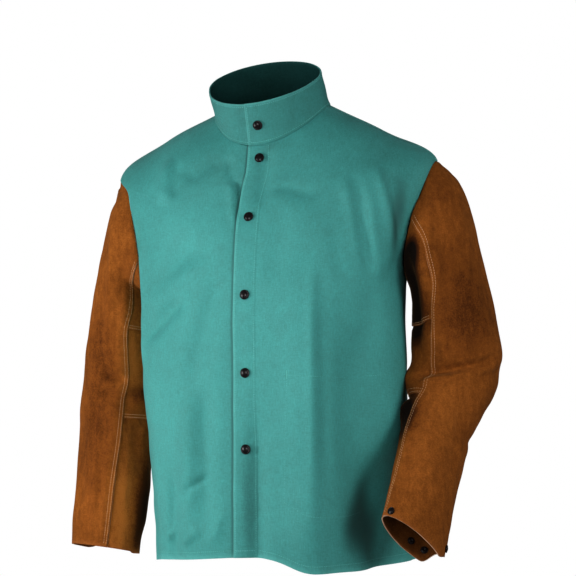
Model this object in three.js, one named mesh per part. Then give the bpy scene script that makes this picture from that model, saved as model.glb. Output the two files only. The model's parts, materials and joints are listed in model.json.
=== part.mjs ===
// Welding jacket: a green cotton body with split-leather sleeves, a stand collar and black snaps.
// Millimetres, +Z up. The front faces -Y and the wearer's left is +X.
// The origin is the middle of the neck, level with the tops of the two shoulder seams.
import * as THREE from "three";

// Walls, and the clear space between pieces that are sewn or laid together
const COTTON_WALL = 1.4;
const PLACKET_WALL = 1.2;
const COLLAR_WALL = 2.4;
const LEATHER_WALL = 2.0;
const SIDE_SEAM_GAP = 0.6;
const SLEEVE_SEAM_GAP = 1.0;
const ARMHOLE_GAP = 2.4;
const LAYER_GAP = 0.8;

// Front closure: where the left front's edge runs, the strip that carries the snaps, and the under lap
const FRONT_EDGE = [
  { level: 0, distance: -21 },
  { level: 470, distance: -19 },
  { level: 640, distance: -20 },
  { level: 700, distance: -17 },
  { level: 750, distance: -13 },
  { level: 830, distance: -13 },
];
const PLACKET_WIDTH = 36;
const PLACKET_TOP_CLEARANCE = 4;
const SNAP_INSET = 19;
const UNDERLAP = 22;
const UNDERLAP_RAMP = 30;

// Collar: its slant per unit of rise, and its rim, which lies in a plane that rises towards the back
const COLLAR_SLANT = new THREE.Vector3(-0.12, -0.32, 1);
const COLLAR_RIM = { height: 58, slope: 0.6 };
const COLLAR_LIFT = 1.2;
const COLLAR_END_LEAN = 10;
const COLLAR_SNAP_SHARE = 0.47;

// Snaps: radius and height of the domed caps, and of the smaller ones at the cuffs
const SNAP_RADIUS = 7.5;
const SNAP_HEIGHT = 3.2;
const CUFF_SNAP_RADIUS = 5.6;
const CUFF_SNAP_HEIGHT = 2.6;
const SNAP_SIDES = 10;
const SNAP_CLEARANCE = 0.6;
const FRONT_SNAP_LEVELS = [792, 616, 472, 328, 195];

// Each armhole is an oval on the body, measured along the rings and up the levels
const ARMHOLE = { level: 555, half_height: 95, back_reach: 74, back_corners: { above: 2.2, below: 2.2 } };
const ARMHOLE_CUT = ARMHOLE.half_height + ARMHOLE_GAP;
const ARMHOLE_EASE = 2.5;

// Body rings from hem to neck seam. A ring runs level at the hem and tilts over the shoulders higher up.
// left_*, right_* and side_y place its sides, front_* and back_* its centres, corner its squareness.
const BODY_RINGS = [
  { level: 0, left_x: 214, left_z: -710, right_x: 216, right_z: -720, side_y: -14,
    front_y: -184, front_z: -677, back_y: 118, back_z: -722, corner: 2.7 },
  { level: 160, left_x: 204, left_z: -558, right_x: 216, right_z: -562, side_y: -12,
    front_y: -172, front_z: -550, back_y: 116, back_z: -560, corner: 2.7 },
  { level: 320, left_x: 201, left_z: -405, right_x: 220, right_z: -405, side_y: -8,
    front_y: -160, front_z: -415, back_y: 114, back_z: -400, corner: 2.6 },
  { level: 460, left_x: 208, left_z: -276, right_x: 223, right_z: -276, side_y: -2,
    front_y: -151, front_z: -302, back_y: 118, back_z: -262, corner: 2.5 },
  { level: 555, left_x: 243, left_z: -188, right_x: 243, right_z: -184, side_y: 4,
    front_y: -134, front_z: -226, back_y: 116, back_z: -168, corner: 2.4 },
  { level: 650, left_x: 264, left_z: -97, right_x: 268, right_z: -86, side_y: 8,
    front_y: -108, front_z: -150, back_y: 100, back_z: -78, corner: 2.2 },
  { level: 745, left_x: 182, left_z: -46, right_x: 182, right_z: -33, side_y: 4,
    front_y: -90, front_z: -106, back_y: 85, back_z: -24, corner: 2.1 },
  { level: 830, left_x: 96, left_z: 0, right_x: 91, right_z: 3, side_y: 0,
    front_y: -76, front_z: -62, back_y: 68, back_z: 22, corner: 2.0 },
];
const HEM_LEVEL = BODY_RINGS[0].level;
const NECK_LEVEL = BODY_RINGS.at(-1).level;
const RING_STEPS = 90;
const SIDE_STEP = RING_STEPS / 2;
const RIDGE_ROUNDING = 1.5;

// Folds of the body: from one place to another (distance along a ring, level), half width and height
const BODY_FOLDS = [
  { from: 100, level: -60, to: 96, to_level: 470, width: 34, height: 10 },
  { from: 166, level: -60, to: 160, to_level: 430, width: 38, height: -9 },
  { from: 106, level: -90, to: 106, to_level: 150, width: 44, height: 9 },
  { from: 150, level: 650, to: 188, to_level: 480, width: 22, height: -6 },
  { from: -80, level: 600, to: -196, to_level: 370, width: 34, height: -7 },
  { from: -135, level: -60, to: -135, to_level: 210, width: 24, height: -5 },
  { from: -228, level: -110, to: -224, to_level: 100, width: 46, height: -9 },
  { from: -228, level: -110, to: -223, to_level: 190, width: 46, height: -8 },
  { from: -228, level: -110, to: -222, to_level: 300, width: 46, height: -7 },
  { from: 480, level: -60, to: 450, to_level: 480, width: 44, height: 7 },
  { from: -480, level: -60, to: -450, to_level: 480, width: 44, height: 7 },
  { from: 545, level: 60, to: 520, to_level: 600, width: 40, height: -6 },
  { from: -545, level: 60, to: -520, to_level: 600, width: 40, height: -6 },
];
const FOLD_FADE = 0.3;

// The hem hangs lower in places: middle, half width and drop, gone some way up the body
const HEM_DIPS = [
  { distance: 90, width: 38, drop: 12 },
  { distance: 155, width: 75, drop: 15 },
  { distance: -110, width: 90, drop: 6 },
];
const HEM_DIP_HEIGHT = 170;

// Sleeve sections from the cap down to the cuff: centre, half sizes and tilts in degrees.
// wide points out from the body and rises by rake; deep points forward and rises by pitch.
const LEFT_SECTIONS = [
  { along: 0.16, x: 259, y: 13, z: -223, wide: 88, deep: 80, rake: 61, pitch: 0 },
  { along: 0.3, x: 271, y: 18, z: -294, wide: 67, deep: 74, rake: 34, pitch: -4 },
  { along: 0.44, x: 279, y: 20, z: -372, wide: 68, deep: 72, rake: 6, pitch: -4 },
  { along: 0.53, x: 281, y: 14, z: -420, wide: 70, deep: 66, rake: -8, pitch: 14 },
  { along: 0.66, x: 262, y: -26, z: -489, wide: 54, deep: 57, rake: -16, pitch: 28 },
  { along: 0.83, x: 249, y: -88, z: -577, wide: 49, deep: 49, rake: -22, pitch: 35 },
  { along: 1, x: 239, y: -140, z: -658, wide: 51, deep: 45, rake: -32, pitch: 46 },
];
const RIGHT_SECTIONS = [
  { along: 0.16, x: 256, y: 6, z: -217, wide: 77, deep: 80, rake: 70, pitch: 0 },
  { along: 0.3, x: 272, y: 10, z: -298, wide: 58, deep: 78, rake: 32, pitch: -2 },
  { along: 0.44, x: 289, y: 14, z: -384, wide: 61, deep: 72, rake: 10, pitch: 0 },
  { along: 0.57, x: 297, y: 12, z: -458, wide: 64, deep: 66, rake: 4, pitch: 6 },
  { along: 0.72, x: 302, y: -4, z: -546, wide: 64, deep: 58, rake: 2, pitch: 12 },
  { along: 0.87, x: 305, y: -26, z: -632, wide: 62, deep: 50, rake: 1, pitch: 16 },
  { along: 1, x: 305, y: -46, z: -702, wide: 58, deep: 44, rake: 5, pitch: 18 },
];

// Where the two long seams of each sleeve run, in degrees from the shoulder over the front
const LEFT_SEAMS = [
  { along: 0, front: 79, back: 268 },
  { along: 0.1, front: 86, back: 264 },
  { along: 0.2, front: 90, back: 260 },
  { along: 0.27, front: 90, back: 259 },
  { along: 0.34, front: 100, back: 258 },
  { along: 0.44, front: 104, back: 256 },
  { along: 0.53, front: 108, back: 262 },
  { along: 0.62, front: 107, back: 271 },
  { along: 0.69, front: 119, back: 280 },
  { along: 0.76, front: 126, back: 289 },
  { along: 0.88, front: 130, back: 310 },
  { along: 1, front: 140, back: 336 },
];
const RIGHT_SEAMS = [
  { along: 0, front: 94, back: 268 },
  { along: 0.05, front: 114, back: 266 },
  { along: 0.09, front: 127, back: 265 },
  { along: 0.15, front: 134, back: 262 },
  { along: 0.22, front: 133, back: 260 },
  { along: 0.28, front: 128, back: 258 },
  { along: 0.35, front: 121, back: 256 },
  { along: 0.42, front: 123, back: 254 },
  { along: 0.5, front: 125, back: 253 },
  { along: 0.58, front: 120, back: 252 },
  { along: 0.7, front: 117, back: 256 },
  { along: 0.81, front: 113, back: 261 },
  { along: 0.91, front: 111, back: 269 },
  { along: 1, front: 108, back: 278 },
];

// Folds of the sleeves: from one place to another (degrees, share of the length), half width and height
const LEFT_SLEEVE_FOLDS = [
  { from: 165, along: 0.58, to: -60, to_along: 0.51, width: 15, height: -9 },
  { from: 60, along: 0.08, to: 78, to_along: 0.46, width: 26, height: -8 },
  { from: 40, along: 0.58, to: 25, to_along: 0.86, width: 24, height: -5 },
];
const RIGHT_SLEEVE_FOLDS = [
  { from: 80, along: 0.56, to: 150, to_along: 0.58, width: 15, height: -7 },
  { from: 55, along: 0.1, to: 85, to_along: 0.52, width: 26, height: -7 },
  { from: 40, along: 0.6, to: 62, to_along: 0.92, width: 22, height: -5 },
];

const LEFT_SLEEVE = {
  name: "left_sleeve", side: 1, front_reach: 60, front_corners: { above: 2.2, below: 1.5 },
  under_seams: [0.36, 0.64], vent: { outer: 12, under: 30 },
  sections: LEFT_SECTIONS, seams: LEFT_SEAMS, folds: LEFT_SLEEVE_FOLDS,
};
const RIGHT_SLEEVE = {
  name: "right_sleeve", side: -1, front_reach: 96, front_corners: { above: 7, below: 3 },
  under_seams: [0.345, 0.63], vent: { outer: 9, under: 9 },
  sections: RIGHT_SECTIONS, seams: RIGHT_SEAMS, folds: RIGHT_SLEEVE_FOLDS,
};
const SLEEVE_GIRTH = 400;
const SLEEVE_LENGTH = 560;
const VENT_FROM = 0.88;

// Snaps near the cuff's rim: caps outside and backs inside, placed by degrees and share of the length
const CUFF_STUD_ALONG = 0.97;
const CUFF_FASTENERS = [
  { sleeve: LEFT_SLEEVE, name: "left_cuff", studs: [250, 277],
    caps: [{ degrees: 124, along: 0.984 }, { degrees: -8, along: 0.962 }] },
  { sleeve: RIGHT_SLEEVE, name: "right_cuff", studs: [226, 252],
    caps: [{ degrees: 312, along: 0.976 }] },
];
const STUD_CLEARANCE = 1.8;

// Grid sizes of the panels
const LOWER_ROWS = 10;
const ARMHOLE_ROWS = 9;
const YOKE_ROWS = 5;
const FRONT_COLUMNS = 11;
const BACK_COLUMNS = 18;
const PLACKET_COLUMNS = 2;
const SLEEVE_ROWS = 26;
const OUTER_COLUMNS = 14;
const UNDER_COLUMNS = 8;
const COLLAR_COLUMNS = 42;
const COLLAR_ROWS = 3;

const GREEN = new THREE.MeshStandardMaterial({ color: 0x3f8f84, roughness: 0.92, metalness: 0 });
const SUEDE = new THREE.MeshStandardMaterial({ color: 0x8a4a1c, roughness: 0.95, metalness: 0 });
const BLACK = new THREE.MeshStandardMaterial({ color: 0x121113, roughness: 0.3, metalness: 0.4 });

const smooth = (t) => THREE.MathUtils.smoothstep(t, 0, 1);
const range = (count) => Array.from({ length: count + 1 }, (_, i) => i / count);

// Cubic through a list of knots and values (numbers or vectors), with slopes from the neighbours
function spline(knots, values, at, blend) {
  const last = knots.length - 1;
  let i = knots.findIndex((knot) => knot > at) - 1;
  if (i < 0) i = at < knots[0] ? 0 : last - 1;
  const span = knots[i + 1] - knots[i];
  const t = (at - knots[i]) / span;
  const weights = new Map();
  const put = (k, w) => weights.set(k, (weights.get(k) ?? 0) + w);
  const putSlope = (k, w) => {
    const [low, high] = [Math.max(k - 1, 0), Math.min(k + 1, last)];
    const share = (w * span) / (knots[high] - knots[low]);
    put(high, share);
    put(low, -share);
  };
  put(i, (1 + 2 * t) * (1 - t) ** 2);
  put(i + 1, t * t * (3 - 2 * t));
  putSlope(i, t * (1 - t) ** 2);
  putSlope(i + 1, t * t * (t - 1));
  return blend([...weights].map(([k, w]) => [values[k], w]));
}

const sumNumbers = (terms) => terms.reduce((sum, [value, weight]) => sum + value * weight, 0);
const sumVectors = (terms) =>
  terms.reduce((sum, [value, weight]) => sum.addScaledVector(value, weight), new THREE.Vector3());

function columnAt(rows, key, name, at) {
  return spline(rows.map((row) => row[key]), rows.map((row) => row[name]), at, sumNumbers);
}

// Height of a fold at a place: a bell across it that fades towards both of its ends
function foldHeight(place, start, end, width, height) {
  const way = end.clone().sub(start);
  const length = way.length();
  const reach = place.clone().sub(start);
  const share = reach.dot(way) / length ** 2;
  const across = reach.cross(way) / length;
  const fade = smooth(share / FOLD_FADE) * smooth((1 - share) / FOLD_FADE);
  return height * Math.exp(-((across / width) ** 2)) * fade;
}

// One half of a ring as points from centre front round a side to centre back, with running length
function makeHalfRing(level, side) {
  const at = (name) => columnAt(BODY_RINGS, "level", name, level);
  const hand = side > 0 ? "left" : "right";
  const [width, sideY, sideZ, corner] = [at(`${hand}_x`), at("side_y"), at(`${hand}_z`), at("corner")];
  const ends = { front: [at("front_y"), at("front_z")], back: [at("back_y"), at("back_z")] };
  let length = 0;
  let before = null;
  return range(RING_STEPS).map((t) => {
    const [across, ahead] = [Math.sin(Math.PI * t), Math.cos(Math.PI * t)];
    const reach = (Math.abs(across) ** corner + Math.abs(ahead) ** corner) ** (-1 / corner);
    const share = Math.abs(reach * ahead);
    const [endY, endZ] = ends[ahead > 0 ? "front" : "back"];
    const y = sideY + (endY - sideY) * share;
    const z = sideZ + (endZ - sideZ) * share ** RIDGE_ROUNDING;
    const point = new THREE.Vector3(side * width * reach * across, y, z);
    length += before ? point.distanceTo(before) : 0;
    before = point;
    return { point, length };
  });
}

const knownRings = new Map();
function halfRing(level, side) {
  const key = `${level} ${side}`;
  if (!knownRings.has(key)) knownRings.set(key, makeHalfRing(level, side));
  return knownRings.get(key);
}

const sideDistance = (level, side) => halfRing(level, side)[SIDE_STEP].length;
const backDistance = (level, side) => halfRing(level, side).at(-1).length;

// The same place as a distance within half a girth of the centre front
function wrapDistance(distance, level) {
  const [left, right] = [backDistance(level, 1), backDistance(level, -1)];
  if (distance > left) return distance - left - right;
  return distance < -right ? distance + left + right : distance;
}

// Point of the plain body at a distance from centre front along a ring, + towards the wearer's left
function ringPoint(distance, level) {
  const near = wrapDistance(distance, level);
  const ring = halfRing(level, near < 0 ? -1 : 1);
  const far = Math.abs(near);
  const k = Math.max(1, ring.findIndex((step) => step.length >= far));
  const [a, b] = [ring[k - 1], ring[k]];
  return a.point.clone().lerp(b.point, (far - a.length) / (b.length - a.length));
}

function bodyNormal(distance, level) {
  const step = 4;
  const [low, high] = [Math.max(level - step, HEM_LEVEL), Math.min(level + step, NECK_LEVEL)];
  const round = ringPoint(distance + step, level).sub(ringPoint(distance - step, level));
  const up = ringPoint(distance, high).sub(ringPoint(distance, low));
  return round.cross(up).normalize();
}

function bodyRelief(distance, level) {
  const place = new THREE.Vector2(wrapDistance(distance, level), level);
  return BODY_FOLDS.reduce((sum, fold) => {
    const start = new THREE.Vector2(fold.from, fold.level);
    const end = new THREE.Vector2(fold.to, fold.to_level);
    return sum + foldHeight(place, start, end, fold.width, fold.height);
  }, 0);
}

function hemDip(distance, level) {
  const near = wrapDistance(distance, level);
  const bell = (row) => row.drop * Math.exp(-(((near - row.distance) / row.width) ** 2));
  return HEM_DIPS.reduce((sum, row) => sum + bell(row), 0) * (1 - smooth(level / HEM_DIP_HEIGHT));
}

// Point of the draped body, raised from its outer surface by a lift
function bodyPoint(distance, level, lift = 0) {
  const point = ringPoint(distance, level);
  point.addScaledVector(bodyNormal(distance, level), lift + bodyRelief(distance, level));
  point.z -= hemDip(distance, level);
  return point;
}

// How far the armhole's edge lies from the side line at a level: 0 above and below the armhole
function armholeReach(level, reach, corners) {
  const rise = Math.abs(level - ARMHOLE.level) / ARMHOLE_CUT;
  const corner = level > ARMHOLE.level ? corners.above : corners.below;
  return rise < 1 ? reach * (1 - rise ** corner) ** (1 / corner) + ARMHOLE_GAP : 0;
}

function bodyLevels() {
  const [low, high] = [ARMHOLE.level - ARMHOLE_CUT, ARMHOLE.level + ARMHOLE_CUT];
  const lower = range(LOWER_ROWS).map((t) => HEM_LEVEL + (low - HEM_LEVEL) * t);
  const middle = range(ARMHOLE_ROWS).map((t) => ARMHOLE.level - ARMHOLE_CUT * Math.cos(Math.PI * t));
  const yoke = range(YOKE_ROWS).map((t) => high + (NECK_LEVEL - high) * t);
  return [...lower, ...middle.slice(1), ...yoke.slice(1)];
}

// Closed wall between two grids of points, with its faces turned outwards
function wallGeometry(outer, inner) {
  const [rows, columns] = [outer.length, outer[0].length];
  const points = [...outer.flat(), ...inner.flat()];
  const skin = (i, j) => i * columns + j;
  const lining = (k) => k + rows * columns;
  const index = [];
  const quad = (a, b, c, d) => index.push(a, b, c, a, c, d);
  for (let i = 0; i + 1 < rows; i += 1) {
    for (let j = 0; j + 1 < columns; j += 1) {
      const corners = [skin(i, j), skin(i, j + 1), skin(i + 1, j + 1), skin(i + 1, j)];
      quad(...corners);
      quad(...corners.map(lining).reverse());
    }
  }
  const bottom = range(columns - 1).map((_, j) => skin(0, j));
  const right = range(rows - 1).map((_, i) => skin(i, columns - 1));
  const top = range(columns - 1).map((_, j) => skin(rows - 1, columns - 1 - j));
  const left = range(rows - 1).map((_, i) => skin(rows - 1 - i, 0));
  for (const edge of [bottom, right, top, left]) {
    for (let k = 0; k + 1 < edge.length; k += 1) {
      quad(edge[k + 1], edge[k], lining(edge[k]), lining(edge[k + 1]));
    }
  }
  let volume = 0;
  for (let k = 0; k < index.length; k += 3) {
    const [a, b, c] = [points[index[k]], points[index[k + 1]], points[index[k + 2]]];
    volume += a.dot(b.clone().cross(c));
  }
  if (volume < 0) index.reverse();
  const geometry = new THREE.BufferGeometry().setFromPoints(points);
  geometry.setIndex(index);
  geometry.computeVertexNormals();
  return geometry;
}

// A panel of the body: columns at shares of each row, at a depth under the outer surface
function bodyPanel(name, levels, columns, distanceAt, wall, depthAt = () => 0) {
  const grid = (extra) => levels.map((level) => range(columns).map((share) => {
    const distance = distanceAt(level, share);
    return bodyPoint(distance, level, -depthAt(distance, level) - extra);
  }));
  const mesh = new THREE.Mesh(wallGeometry(grid(0), grid(wall)), GREEN);
  mesh.name = name;
  return mesh;
}

const closingEdge = (level) => columnAt(FRONT_EDGE, "level", "distance", level);

// The right front sinks under the left one where the two lap
function underlapDepth(distance, level) {
  const share = (distance - closingEdge(level) + UNDERLAP_RAMP) / (UNDERLAP_RAMP - 2);
  return (COTTON_WALL + LAYER_GAP) * smooth(share);
}

// Share of a front from its closing edge to its side edge; outer columns give way to the armhole most
function frontDistance(level, share, sleeve, closing) {
  const side = sideDistance(level, sleeve.side) - SIDE_SEAM_GAP / 2;
  const reach = armholeReach(level, sleeve.front_reach, sleeve.front_corners);
  return closing + (side - closing) * share - reach * share ** ARMHOLE_EASE;
}

function fronts() {
  const left = (level, share) => frontDistance(level, share, LEFT_SLEEVE, closingEdge(level));
  const right = (level, share) => -frontDistance(level, share, RIGHT_SLEEVE, -UNDERLAP);
  return [
    bodyPanel("front_left", bodyLevels(), FRONT_COLUMNS, left, COTTON_WALL),
    bodyPanel("front_right", bodyLevels(), FRONT_COLUMNS, right, COTTON_WALL, underlapDepth),
  ];
}

function back() {
  const distanceAt = (level, share) => {
    const girth = backDistance(level, 1) + backDistance(level, -1);
    const start = sideDistance(level, 1) + SIDE_SEAM_GAP / 2;
    const end = girth - sideDistance(level, -1) - SIDE_SEAM_GAP / 2;
    const reach = armholeReach(level, ARMHOLE.back_reach, ARMHOLE.back_corners);
    return start + (end - start) * share + reach * ((1 - share) ** ARMHOLE_EASE - share ** ARMHOLE_EASE);
  };
  return [bodyPanel("back_panel", bodyLevels(), BACK_COLUMNS, distanceAt, COTTON_WALL)];
}

function placket() {
  const levels = bodyLevels();
  levels[levels.length - 1] -= PLACKET_TOP_CLEARANCE;
  const distanceAt = (level, share) => closingEdge(level) + PLACKET_WIDTH * share;
  const lift = () => -LAYER_GAP - PLACKET_WALL;
  return [bodyPanel("placket", levels, PLACKET_COLUMNS, distanceAt, PLACKET_WALL, lift)];
}

// Point of the collar: a distance round the neck seam, a share of its rise, a depth under its outside
function collarPoint(distance, share, depth) {
  const base = ringPoint(distance, NECK_LEVEL);
  const along = ringPoint(distance + 2, NECK_LEVEL).sub(ringPoint(distance - 2, NECK_LEVEL));
  const outward = new THREE.Vector3(along.y, -along.x, 0).normalize();
  const height = COLLAR_RIM.height + COLLAR_RIM.slope * base.y - base.z;
  const rise = height / (1 - COLLAR_RIM.slope * COLLAR_SLANT.y);
  const climb = COLLAR_LIFT + (rise - COLLAR_LIFT) * share;
  return base.addScaledVector(COLLAR_SLANT, climb).addScaledVector(outward, -depth);
}

function collar() {
  const girth = backDistance(NECK_LEVEL, 1) + backDistance(NECK_LEVEL, -1);
  const [start, end] = [closingEdge(NECK_LEVEL), girth + UNDERLAP];
  const underDepth = (distance) =>
    (COLLAR_WALL + LAYER_GAP) * smooth((distance - girth - start + UNDERLAP_RAMP) / (UNDERLAP_RAMP - 2));
  const grid = (extra) => range(COLLAR_ROWS).map((share) => range(COLLAR_COLUMNS).map((u) => {
    const distance = start + (end - start) * u;
    return collarPoint(distance + COLLAR_END_LEAN * share, share, underDepth(distance) + extra);
  }));
  const mesh = new THREE.Mesh(wallGeometry(grid(0), grid(COLLAR_WALL)), GREEN);
  mesh.name = "collar";
  return [mesh];
}

// Where the sleeve starts: the armhole's oval, from the shoulder (0) over the front to the underarm (180)
function armholePoint(sleeve, angle) {
  const ahead = Math.sin(angle) > 0;
  const corners = ahead ? sleeve.front_corners : ARMHOLE.back_corners;
  const corner = Math.cos(angle) > 0 ? corners.above : corners.below;
  const reach = ahead ? sleeve.front_reach : ARMHOLE.back_reach;
  const round = (value) => Math.sign(value) * Math.abs(value) ** (2 / corner);
  const level = ARMHOLE.level + ARMHOLE.half_height * round(Math.cos(angle));
  const distance = sideDistance(level, sleeve.side) - reach * round(Math.sin(angle));
  return bodyPoint(sleeve.side * distance, level);
}

function sectionPoint(side, row, angle) {
  const [rake, pitch] = [row.rake, row.pitch].map(THREE.MathUtils.degToRad);
  const out = new THREE.Vector3(side * Math.cos(rake), 0, Math.sin(rake));
  const front = new THREE.Vector3(0, -Math.cos(pitch), Math.sin(pitch));
  return new THREE.Vector3(side * row.x, row.y, row.z)
    .addScaledVector(out, row.wide * Math.cos(angle))
    .addScaledVector(front, row.deep * Math.sin(angle));
}

// A line down the sleeve at one angle, through the armhole and every section
function sleeveLine(sleeve, angle) {
  const knots = [0, ...sleeve.sections.map((row) => row.along)];
  const rings = sleeve.sections.map((row) => sectionPoint(sleeve.side, row, angle));
  const values = [armholePoint(sleeve, angle), ...rings];
  return (along) => spline(knots, values, along, sumVectors);
}

function sleeveNormal(sleeve, angle, along) {
  const [turn, step] = [0.03, 0.01];
  const line = sleeveLine(sleeve, angle);
  const down = line(Math.min(along + step, 1)).sub(line(Math.max(along - step, 0)));
  const round = sleeveLine(sleeve, angle + turn)(along).sub(sleeveLine(sleeve, angle - turn)(along));
  return round.cross(down).normalize().multiplyScalar(sleeve.side);
}

function sleeveRelief(sleeve, angle, along) {
  const spot = (degrees, share) =>
    new THREE.Vector2((degrees / 360) * SLEEVE_GIRTH, share * SLEEVE_LENGTH);
  const place = spot(THREE.MathUtils.radToDeg(angle), along);
  return sleeve.folds.reduce((sum, fold) => {
    const [start, end] = [spot(fold.from, fold.along), spot(fold.to, fold.to_along)];
    return sum + foldHeight(place, start, end, fold.width, fold.height);
  }, 0);
}

// Point of the draped sleeve, raised from its outer surface by a lift
function sleevePoint(sleeve, angle, along, lift = 0) {
  const rise = lift + sleeveRelief(sleeve, angle, along);
  return sleeveLine(sleeve, angle)(along).addScaledVector(sleeveNormal(sleeve, angle, along), rise);
}

// A leather panel between two seams, over a stretch of the sleeve
function sleevePanel(name, sleeve, stretch, seams, columns) {
  const trim = (SLEEVE_SEAM_GAP / SLEEVE_GIRTH) * 2 * Math.PI;
  const [from, to] = stretch;
  const rows = Math.max(4, Math.round(SLEEVE_ROWS * (to - from)));
  const grid = (depth) => range(rows).map((v) => {
    const along = from + (to - from) * v;
    const [start, end] = seams(along);
    const angleAt = (u) => start + trim + (end - start - 2 * trim) * u;
    return range(columns).map((u) => sleevePoint(sleeve, angleAt(u), along, -depth));
  });
  const mesh = new THREE.Mesh(wallGeometry(grid(0), grid(LEATHER_WALL)), SUEDE);
  mesh.name = name;
  return mesh;
}

// A sleeve is an outer panel and an under panel, pieced across; their back seam opens at the cuff
function sleevePanels(sleeve) {
  const seam = (name, along) => THREE.MathUtils.degToRad(columnAt(sleeve.seams, "along", name, along));
  const vent = (along, open) =>
    THREE.MathUtils.degToRad(open) * smooth((along - VENT_FROM) / (1 - VENT_FROM));
  const outerSeams = (along) =>
    [seam("back", along) - 2 * Math.PI + vent(along, sleeve.vent.outer), seam("front", along)];
  const underSeams = (along) => [seam("front", along), seam("back", along) - vent(along, sleeve.vent.under)];
  const outer = sleevePanel(`${sleeve.name}_outer`, sleeve, [0, 1], outerSeams, OUTER_COLUMNS);
  const stops = [0, ...sleeve.under_seams, 1];
  const under = stops.slice(1).map((stop, k) => {
    const start = stops[k] + (k === 0 ? 0 : SLEEVE_SEAM_GAP / SLEEVE_LENGTH);
    return sleevePanel(`${sleeve.name}_under_${k + 1}`, sleeve, [start, stop], underSeams, UNDER_COLUMNS);
  });
  return [outer, ...under];
}

// A domed disc whose flat base stands at a point and faces along a direction
function snapMesh(name, base, facing, radius, height) {
  const profile = [[0, 0], [1, 0], [1, 0.3], [0.86, 0.62], [0.5, 0.92], [0, 1]];
  const points = profile.map(([r, h]) => new THREE.Vector2(r * radius, h * height));
  const mesh = new THREE.Mesh(new THREE.LatheGeometry(points, SNAP_SIDES), BLACK);
  mesh.name = name;
  mesh.position.copy(base);
  mesh.quaternion.setFromUnitVectors(new THREE.Vector3(0, 1, 0), facing);
  return mesh;
}

function frontSnaps() {
  const lift = LAYER_GAP + PLACKET_WALL + SNAP_CLEARANCE;
  return FRONT_SNAP_LEVELS.map((level, k) => {
    const distance = closingEdge(level) + SNAP_INSET;
    const base = bodyPoint(distance, level, lift);
    return snapMesh(`front_snap_${k + 1}`, base, bodyNormal(distance, level), SNAP_RADIUS, SNAP_HEIGHT);
  });
}

function collarSnap() {
  const distance = closingEdge(NECK_LEVEL) + COLLAR_END_LEAN * COLLAR_SNAP_SHARE + SNAP_INSET;
  const base = collarPoint(distance, COLLAR_SNAP_SHARE, -SNAP_CLEARANCE);
  const round = collarPoint(distance + SNAP_RADIUS, COLLAR_SNAP_SHARE, -SNAP_CLEARANCE)
    .sub(collarPoint(distance - SNAP_RADIUS, COLLAR_SNAP_SHARE, -SNAP_CLEARANCE));
  const facing = round.cross(COLLAR_SLANT).normalize();
  return [snapMesh("collar_snap", base, facing, SNAP_RADIUS, SNAP_HEIGHT)];
}

function cuffFasteners({ sleeve, name, caps, studs }) {
  const outside = caps.map(({ degrees, along }, k) => {
    const angle = THREE.MathUtils.degToRad(degrees);
    const base = sleevePoint(sleeve, angle, along, SNAP_CLEARANCE);
    const facing = sleeveNormal(sleeve, angle, along);
    return snapMesh(`${name}_snap_${k + 1}`, base, facing, CUFF_SNAP_RADIUS, CUFF_SNAP_HEIGHT);
  });
  const inside = studs.map((degrees, k) => {
    const angle = THREE.MathUtils.degToRad(degrees);
    const base = sleevePoint(sleeve, angle, CUFF_STUD_ALONG, -LEATHER_WALL - STUD_CLEARANCE);
    const facing = sleeveNormal(sleeve, angle, CUFF_STUD_ALONG).negate();
    return snapMesh(`${name}_stud_${k + 1}`, base, facing, CUFF_SNAP_RADIUS, CUFF_SNAP_HEIGHT);
  });
  return [...outside, ...inside];
}

const pieces = [
  ...back(),
  ...fronts(),
  ...placket(),
  ...collar(),
  ...sleevePanels(LEFT_SLEEVE),
  ...sleevePanels(RIGHT_SLEEVE),
  ...frontSnaps(),
  ...collarSnap(),
  ...CUFF_FASTENERS.flatMap(cuffFasteners),
];
const jacket = new THREE.Group();
jacket.add(...pieces);

export default jacket;
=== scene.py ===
# %% [markdown]
# # A welding jacket, dressed over its CAD frame
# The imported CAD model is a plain, rigid stand-in for a garment. It is right in size and place, but its
# panels are coarse. This lesson keeps its measures and cuts each panel again as a fine sheet of cloth or
# leather, then sews it with real stitches and gives it a finish. Every length below is in millimetres, as
# on a pattern, and becomes metres only when a mesh is made.

# %% Load the frame
import json
import math

import bpy
import numpy as np
from mathutils import Matrix, Vector

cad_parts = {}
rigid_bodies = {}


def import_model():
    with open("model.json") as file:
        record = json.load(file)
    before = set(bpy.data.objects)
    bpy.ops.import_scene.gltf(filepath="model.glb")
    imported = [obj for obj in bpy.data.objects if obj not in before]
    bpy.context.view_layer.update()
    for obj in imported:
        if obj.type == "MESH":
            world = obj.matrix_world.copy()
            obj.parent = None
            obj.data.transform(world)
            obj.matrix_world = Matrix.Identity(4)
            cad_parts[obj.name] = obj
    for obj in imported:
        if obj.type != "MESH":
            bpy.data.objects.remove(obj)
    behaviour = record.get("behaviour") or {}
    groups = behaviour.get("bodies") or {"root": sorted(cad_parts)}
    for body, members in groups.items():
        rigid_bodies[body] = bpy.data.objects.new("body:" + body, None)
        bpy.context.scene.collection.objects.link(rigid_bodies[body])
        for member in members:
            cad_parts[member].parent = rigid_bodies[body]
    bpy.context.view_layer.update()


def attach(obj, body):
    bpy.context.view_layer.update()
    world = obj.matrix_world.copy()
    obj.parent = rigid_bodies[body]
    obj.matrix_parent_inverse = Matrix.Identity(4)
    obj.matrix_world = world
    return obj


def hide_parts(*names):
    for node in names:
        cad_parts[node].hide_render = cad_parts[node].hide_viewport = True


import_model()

MM = 0.001

# %% [markdown]
# ## The camera
# A product picture is taken level, from a little to one side, with a long lens. The camera could be aimed
# with a constraint, but a matrix built from its three axes also holds the small tilt of the picture.

# %% Camera
VIEW_TURN, VIEW_ROLL = math.radians(19.4924), math.radians(2.3417)
VIEW_AWAY, VIEW_ASIDE, VIEW_HEIGHT = 2.0533, 0.015, -0.2849
LENS, SENSOR = 80.02, 36.0

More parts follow.
